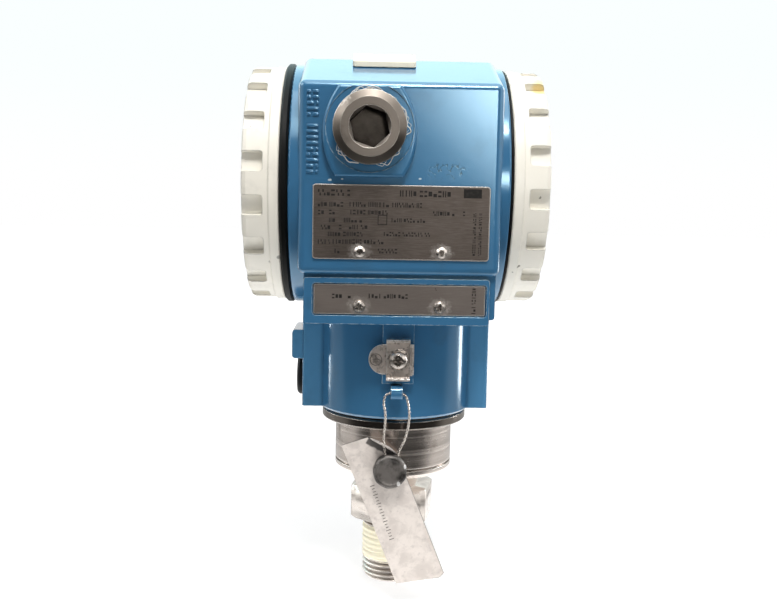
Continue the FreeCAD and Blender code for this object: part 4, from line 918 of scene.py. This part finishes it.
# Three painted highlights: glints on the front of the rim.
for x, z, size in ((5.0, 2.1, 0.0011), (4.6, 3.8, 0.0008), (2.9, -4.0, 0.0010)):
    glint = lead.mask("patch", Centre=(seal_centre.x + x * MM, seal_low.y, seal_centre.z + z * MM),
                      Size=(0.6 * size, 0.002, size), Ragged=1.5)
    worn_and_glints = lead.most(worn_and_glints, glint)
set_look(lead, lead.mix(worn_and_glints, pitted, (0.62, 0.61, 0.60)), lead.ramp(uneven, 0.3, 0.7, 0.34, 0.52),
         lead.minus(uneven, lead.times(pits, 0.2)))
paint(lead, pressed_seal)

# %% [markdown]
# The tag is thin sheet with a pale, blotched, slightly pink coating. Its edge faces are painted dark, and so
# is a thin band along its right edge, which draws a thin dark line along its right side and its foot. The
# inside of the folded corner lies in shadow on the photograph, and as no lamp here throws that shadow, a
# wavy dark band along the fold is painted in.

# %% Finish: tag
tag = new_finish("mottled tag", 0.00008, 0.2, 0.00002)
where = tag.place()
clouds = tag.noise(where, 230.0, 6.0, 0.65, 0.4)
spots = tag.noise(where, 620.0, 4.0, 0.6)
body_tag = tag.mix(tag.ramp(clouds, 0.38, 0.66), (0.72, 0.655, 0.605), (0.58, 0.522, 0.482))
spotted = tag.mix(tag.times(tag.ramp(spots, 0.56, 0.68), 0.3), body_tag, (0.36, 0.32, 0.30))
split = tag.split(where)


def across_tag(x_share, z_share):
    """The distance along a direction in the tag's plane."""
    return tag.plus(tag.times(split["X"], x_share), tag.times(split["Z"], z_share))


# The edge faces, and a thin band along the right edge of the face, are painted dark.
cut_edge = tag.ramp(tag.absolute(tag.facing()), 0.30, 0.15)
on_right = tag.ramp(across_tag(0.919, 0.393), 0.0065, 0.0075)
right_rim = tag.times(tag.ramp(tag.bend(0.0005), 0.02, 0.10), on_right)
to_corner = across_tag(0.475, 0.880)
wavy = tag.plus(to_corner, tag.times(tag.noise(where, 500.0, 2.0), 0.0012))
fold = tag.times(tag.ramp(wavy, 0.0250, 0.0257), tag.ramp(to_corner, 0.0273, 0.0269))
fold = tag.times(fold, tag.ramp(across_tag(0.880, -0.475), -0.0250, -0.0244))
dark = tag.most(tag.most(cut_edge, right_rim), tag.times(fold, 0.92))
set_look(tag, tag.mix(dark, spotted, (0.05, 0.042, 0.04)), tag.ramp(clouds, 0.3, 0.7, 0.5, 0.65), spots)
paint(tag, "tag_plate")
print("lead and tag done")

# %% [markdown]
# Rubber rings, black mouldings and the cable sheath differ mainly in how they scatter light, so one recipe
# serves them: a near-black body, a fine pebble or grain in the bump, and grey dust where it collects.

# %% Finish: black rubber and black plastic
def black_finish(name, body, dust, pebble, rough):
    """A near-black moulded finish with dust."""
    finish = new_finish(name, 0.0002, 0.3, 0.00003, Specular_IOR_Level=0.10)
    fine = finish.noise(finish.place(), pebble, 3.0, 0.6)
    settled = finish.mask("grime", Reach=0.002, Corners=0.3, Blotches=0.35, Scale=160.0)
    uneven = finish.ramp(fine, 0.2, 0.8, rough - 0.08, rough + 0.08)
    set_look(finish, finish.mix(settled, body, dust), uneven, fine)
    return finish


rubber = black_finish("gasket rubber", (0.003, 0.0035, 0.0035), (0.010, 0.011, 0.011), 2600.0, 0.45)
moulding = black_finish("black moulding", (0.012, 0.013, 0.015), (0.05, 0.048, 0.045), 3800.0, 0.50)
paint(rubber, "terminal_cover_seal", "electronics_cover_seal", "neck_seal", "sensor_cable")
paint(moulding, "vent_cap", "sensor_socket", "key_plunger_1", "key_plunger_2", "key_plunger_3", "key_panel",
      "terminal_block", "electronics_module")

# %% [markdown]
# The flap over the keys is cream plastic, yellowed a little, with the soft sheen of a moulded part.

# %% Finish: cream flap
flap = new_finish("cream moulding", 0.0004, 0.15, 0.00003)
uneven = flap.noise(flap.place(), 60.0, 3.0, 0.5)
dirt = flap.mask("grime", Reach=0.002, Corners=0.35, Blotches=0.08, Scale=140.0)
body_cream = flap.mix(uneven, (0.84, 0.77, 0.60), (0.90, 0.84, 0.68))
set_look(flap, flap.mix(dirt, body_cream, (0.25, 0.20, 0.14)), flap.ramp(uneven, 0.3, 0.7, 0.40, 0.50),
         flap.noise(flap.place(), 2200.0, 2.0))
paint(flap, "key_flap")

# %% [markdown]
# Sealing tape is matt and fibrous. On the thread it has soaked up yellow paste, and the torn ends round the
# plug stayed nearly white. Both are one recipe with two colours.

# %% Finish: sealing tape
for name, dark, light, piece in (("yellowed tape", (0.90, 0.82, 0.58), (0.97, 0.93, 0.76), tape),
                                 ("white tape", (0.70, 0.68, 0.64), (0.95, 0.94, 0.91), shreds)):
    paint(grained_finish(name, dark, light, 900.0, (0.55, 0.8), 5.0, 0.65, corner=0.0001, bump=0.5,
                         depth=0.00008, Subsurface_Weight=0.15,
                         Subsurface_Radius=(0.001, 0.0008, 0.0005)), piece)

# %% [markdown]
# Inside are a circuit board, a ceramic pressure cell, a breathing membrane, plated clamps and insulated
# leads. Nobody sees much of them, but they still get real finishes: solder resist with pads, fired
# ceramic, and plated metal.

# %% Finish: inner parts
board = new_finish("circuit board", 0.0001, 0.2, 0.00002)
tracks = board.add("TexBrick", {"Vector": board.place(), "Scale": 420.0, "Mortar Size": 0.03,
                                "Color1": (0.012, 0.090, 0.045), "Color2": (0.016, 0.120, 0.060),
                                "Mortar": (0.05, 0.20, 0.09)})
set_look(board, tracks.outputs["Color"], board.ramp(tracks.outputs["Fac"], 0.0, 1.0, 0.35, 0.5),
         tracks.outputs["Fac"])
paint(board, "sensor_board")

ceramic = grained_finish("fired ceramic", (0.70, 0.69, 0.66), (0.82, 0.81, 0.78), 900.0, (0.45, 0.6),
                         corner=0.0002, bump=0.2, depth=0.00002)
paint(ceramic, "pressure_cell", "vent_membrane")
plated = grained_finish("plated copper", (0.60, 0.42, 0.27), (0.74, 0.60, 0.46), 1200.0, (0.25, 0.40),
                        corner=0.0001, bump=0.2, depth=0.00002, Metallic=1.0)
paint(plated, "terminal_clamps", "sensor_leads")
print("inner parts done")

# %% [markdown]
# A pale floor carries the part, and keeps its soft shadow. It glows a little: towards the camera, so that it
# looks white, and close round the part as light from below. Rays mirrored in the metal see the floor in
# front of the part nearly dark, as the photographer stands there.

# %% Floor
floor_mesh = bmesh.new()
bmesh.ops.create_grid(floor_mesh, x_segments=1, y_segments=1, size=3.0)
bmesh.ops.translate(floor_mesh, verts=floor_mesh.verts, vec=(0, 0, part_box("process_connection")[0].z - 0.0001))
floor = new_object("floor", floor_mesh)
pale = bpy.data.materials.new("pale floor")
ground = empty_tree(pale)
rays = ground.add("LightPath").outputs
seen = rays["Is Camera Ray"]
in_front = ground.times(rays["Is Glossy Ray"], ground.ramp(ground.split(ground.place())["Y"], -0.02, -0.12))
reach = ground.vector("LENGTH", ground.place())
glow = ground.times(seen, ground.ramp(reach, 0.12, 0.5, 0.76, 1.0))
uplight = ground.times(ground.rest(seen), ground.ramp(reach, 0.08, 0.20, 1.4, 0.15))
uplight = ground.times(uplight, ground.rest(in_front))
floor_grey = ground.mix(in_front, (0.45, 0.45, 0.45), (0.04, 0.04, 0.04))
surface = ground.add("BsdfPrincipled", {
    "Roughness": 1.0, "Base Color": floor_grey, "Specular IOR Level": 0.0,
    "Emission Color": (1.0, 0.995, 0.995), "Emission Strength": ground.plus(glow, uplight)})
ground.add("OutputMaterial", {"Surface": surface.outputs[0]})
floor.data.materials.append(pale)

# %% [markdown]
# The world is a plain studio that the camera sees white. In reflections it is dark from the front, white at
# the sides and brightest and slightly cyan above and behind, which is what turns the sloping roof nearly
# white. As a light it is weak, so that the lamps model the shapes.

# %% World
world = bpy.data.worlds.new("studio")
bpy.context.scene.world = world
sky = empty_tree(world)
rays = sky.add("LightPath").outputs
seen = sky.most(rays["Is Camera Ray"], rays["Is Transmission Ray"])
direction = sky.split(sky.add("TexCoord").outputs["Generated"])
to_front = sky.plus(sky.times(direction["X"], -0.15), sky.times(direction["Y"], -0.99))
sides = sky.ramp(to_front, 0.95, 0.10, 0.07, 1.1)
behind = sky.times(sky.ramp(direction["Z"], 0.15, 0.5), sky.ramp(direction["Y"], -0.2, 0.4, 0.0, 1.2))
mirrored = sky.times(rays["Is Glossy Ray"], sky.plus(sides, behind))
lighting = sky.times(sky.rest(rays["Is Glossy Ray"]), sky.times(sides, 0.22))
strength = sky.plus(seen, sky.times(sky.rest(seen), sky.plus(mirrored, lighting)))
plain_sky = sky.mix(sky.ramp(direction["Z"], 0.0, 0.15), (1.0, 1.0, 1.0), (0.955, 1.0, 1.0))
room = sky.mix(sky.times(behind, 0.8), (1.0, 0.98, 0.955), (0.70, 0.97, 1.0))
background = sky.add("Background", {"Color": sky.mix(seen, room, plain_sky), "Strength": strength})
sky.add("OutputWorld", {"Surface": background.outputs[0]})

# %% [markdown]
# A broad softbox above gives the soft light, a small bright one in front of it the shadows, and two weak ones
# fill the sides. One behind lights the scene but isn't mirrored, or it would burn out the roof. The rest
# are seen only in reflections: three stacked panels far in front make the window's diagonal highlight with
# its soft edge, a card brightens the upper left, and two strips draw the thin lines on the covers' rings.

# %% Lamps
def add_lamp(name, place, target, size, radiance, colour=(1, 1, 1), only_gloss=False, turn=0.0):
    """A rectangular area lamp aimed at a point, whose face shines with the given radiance."""
    data = bpy.data.lights.new(name, "AREA")
    data.shape = "RECTANGLE"
    data.size, data.size_y = size
    data.energy = radiance * pi * size[0] * size[1]
    data.color = colour
    lamp = bpy.data.objects.new(name, data)
    bpy.context.scene.collection.objects.link(lamp)
    lamp.matrix_world = Matrix.Translation(place) @ (Vector(place) - Vector(target)).to_track_quat(
        "Z", "Y").to_matrix().to_4x4() @ Matrix.Rotation(turn, 4, "Z")
    lamp.visible_diffuse = not only_gloss
    lamp.visible_camera = False
    return lamp


body, warm, window_light = (0, 0, 0.11), (1.0, 0.99, 0.97), (1.0, 0.985, 0.96)
add_lamp("top softbox", (0.06, -0.20, 0.72), body, (0.70, 0.60), 2.3, warm)
add_lamp("key softbox", (0.05, -0.44, 0.77), (0, 0, 0.10), (0.17, 0.17), 48.0, warm)
add_lamp("left softbox", (-0.60, -0.35, 0.35), (0, 0, 0.08), (0.40, 0.40), 0.4)
add_lamp("right softbox", (0.60, -0.30, 0.35), (0, 0, 0.08), (0.40, 0.40), 1.0)
back = add_lamp("back softbox", (0.10, 0.75, 0.45), body, (0.50, 0.50), 2.4)
back.visible_glossy = False
for name, x, z, size, radiance in (("window", 0.190, 0.247, (0.10, 0.16), 6.0),
                                   ("window glow", 0.186, 0.244, (0.14, 0.20), 7.5),
                                   ("window haze", 0.173, 0.229, (0.18, 0.24), 4.0)):
    add_lamp(name, (x, -0.94, z), (0.01, 0, 0.14), size, radiance, window_light, True, radians(47))
add_lamp("high left card", (-0.48, -0.19, 0.47), (-0.01, -0.05, 0.14), (0.26, 0.26), 5.0, only_gloss=True)
add_lamp("left strip", (-0.278, 0.112, 0.16), (0, 0, 0.16), (0.018, 0.34), 14.0, only_gloss=True)
add_lamp("right strip", (0.275, 0.108, 0.16), (0, 0, 0.16), (0.060, 0.34), 10.0, only_gloss=True)
bpy.context.scene.view_settings.view_transform = "Standard"
print("lamps:", len(bpy.data.lights))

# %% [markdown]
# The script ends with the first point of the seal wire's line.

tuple(wire_line[0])
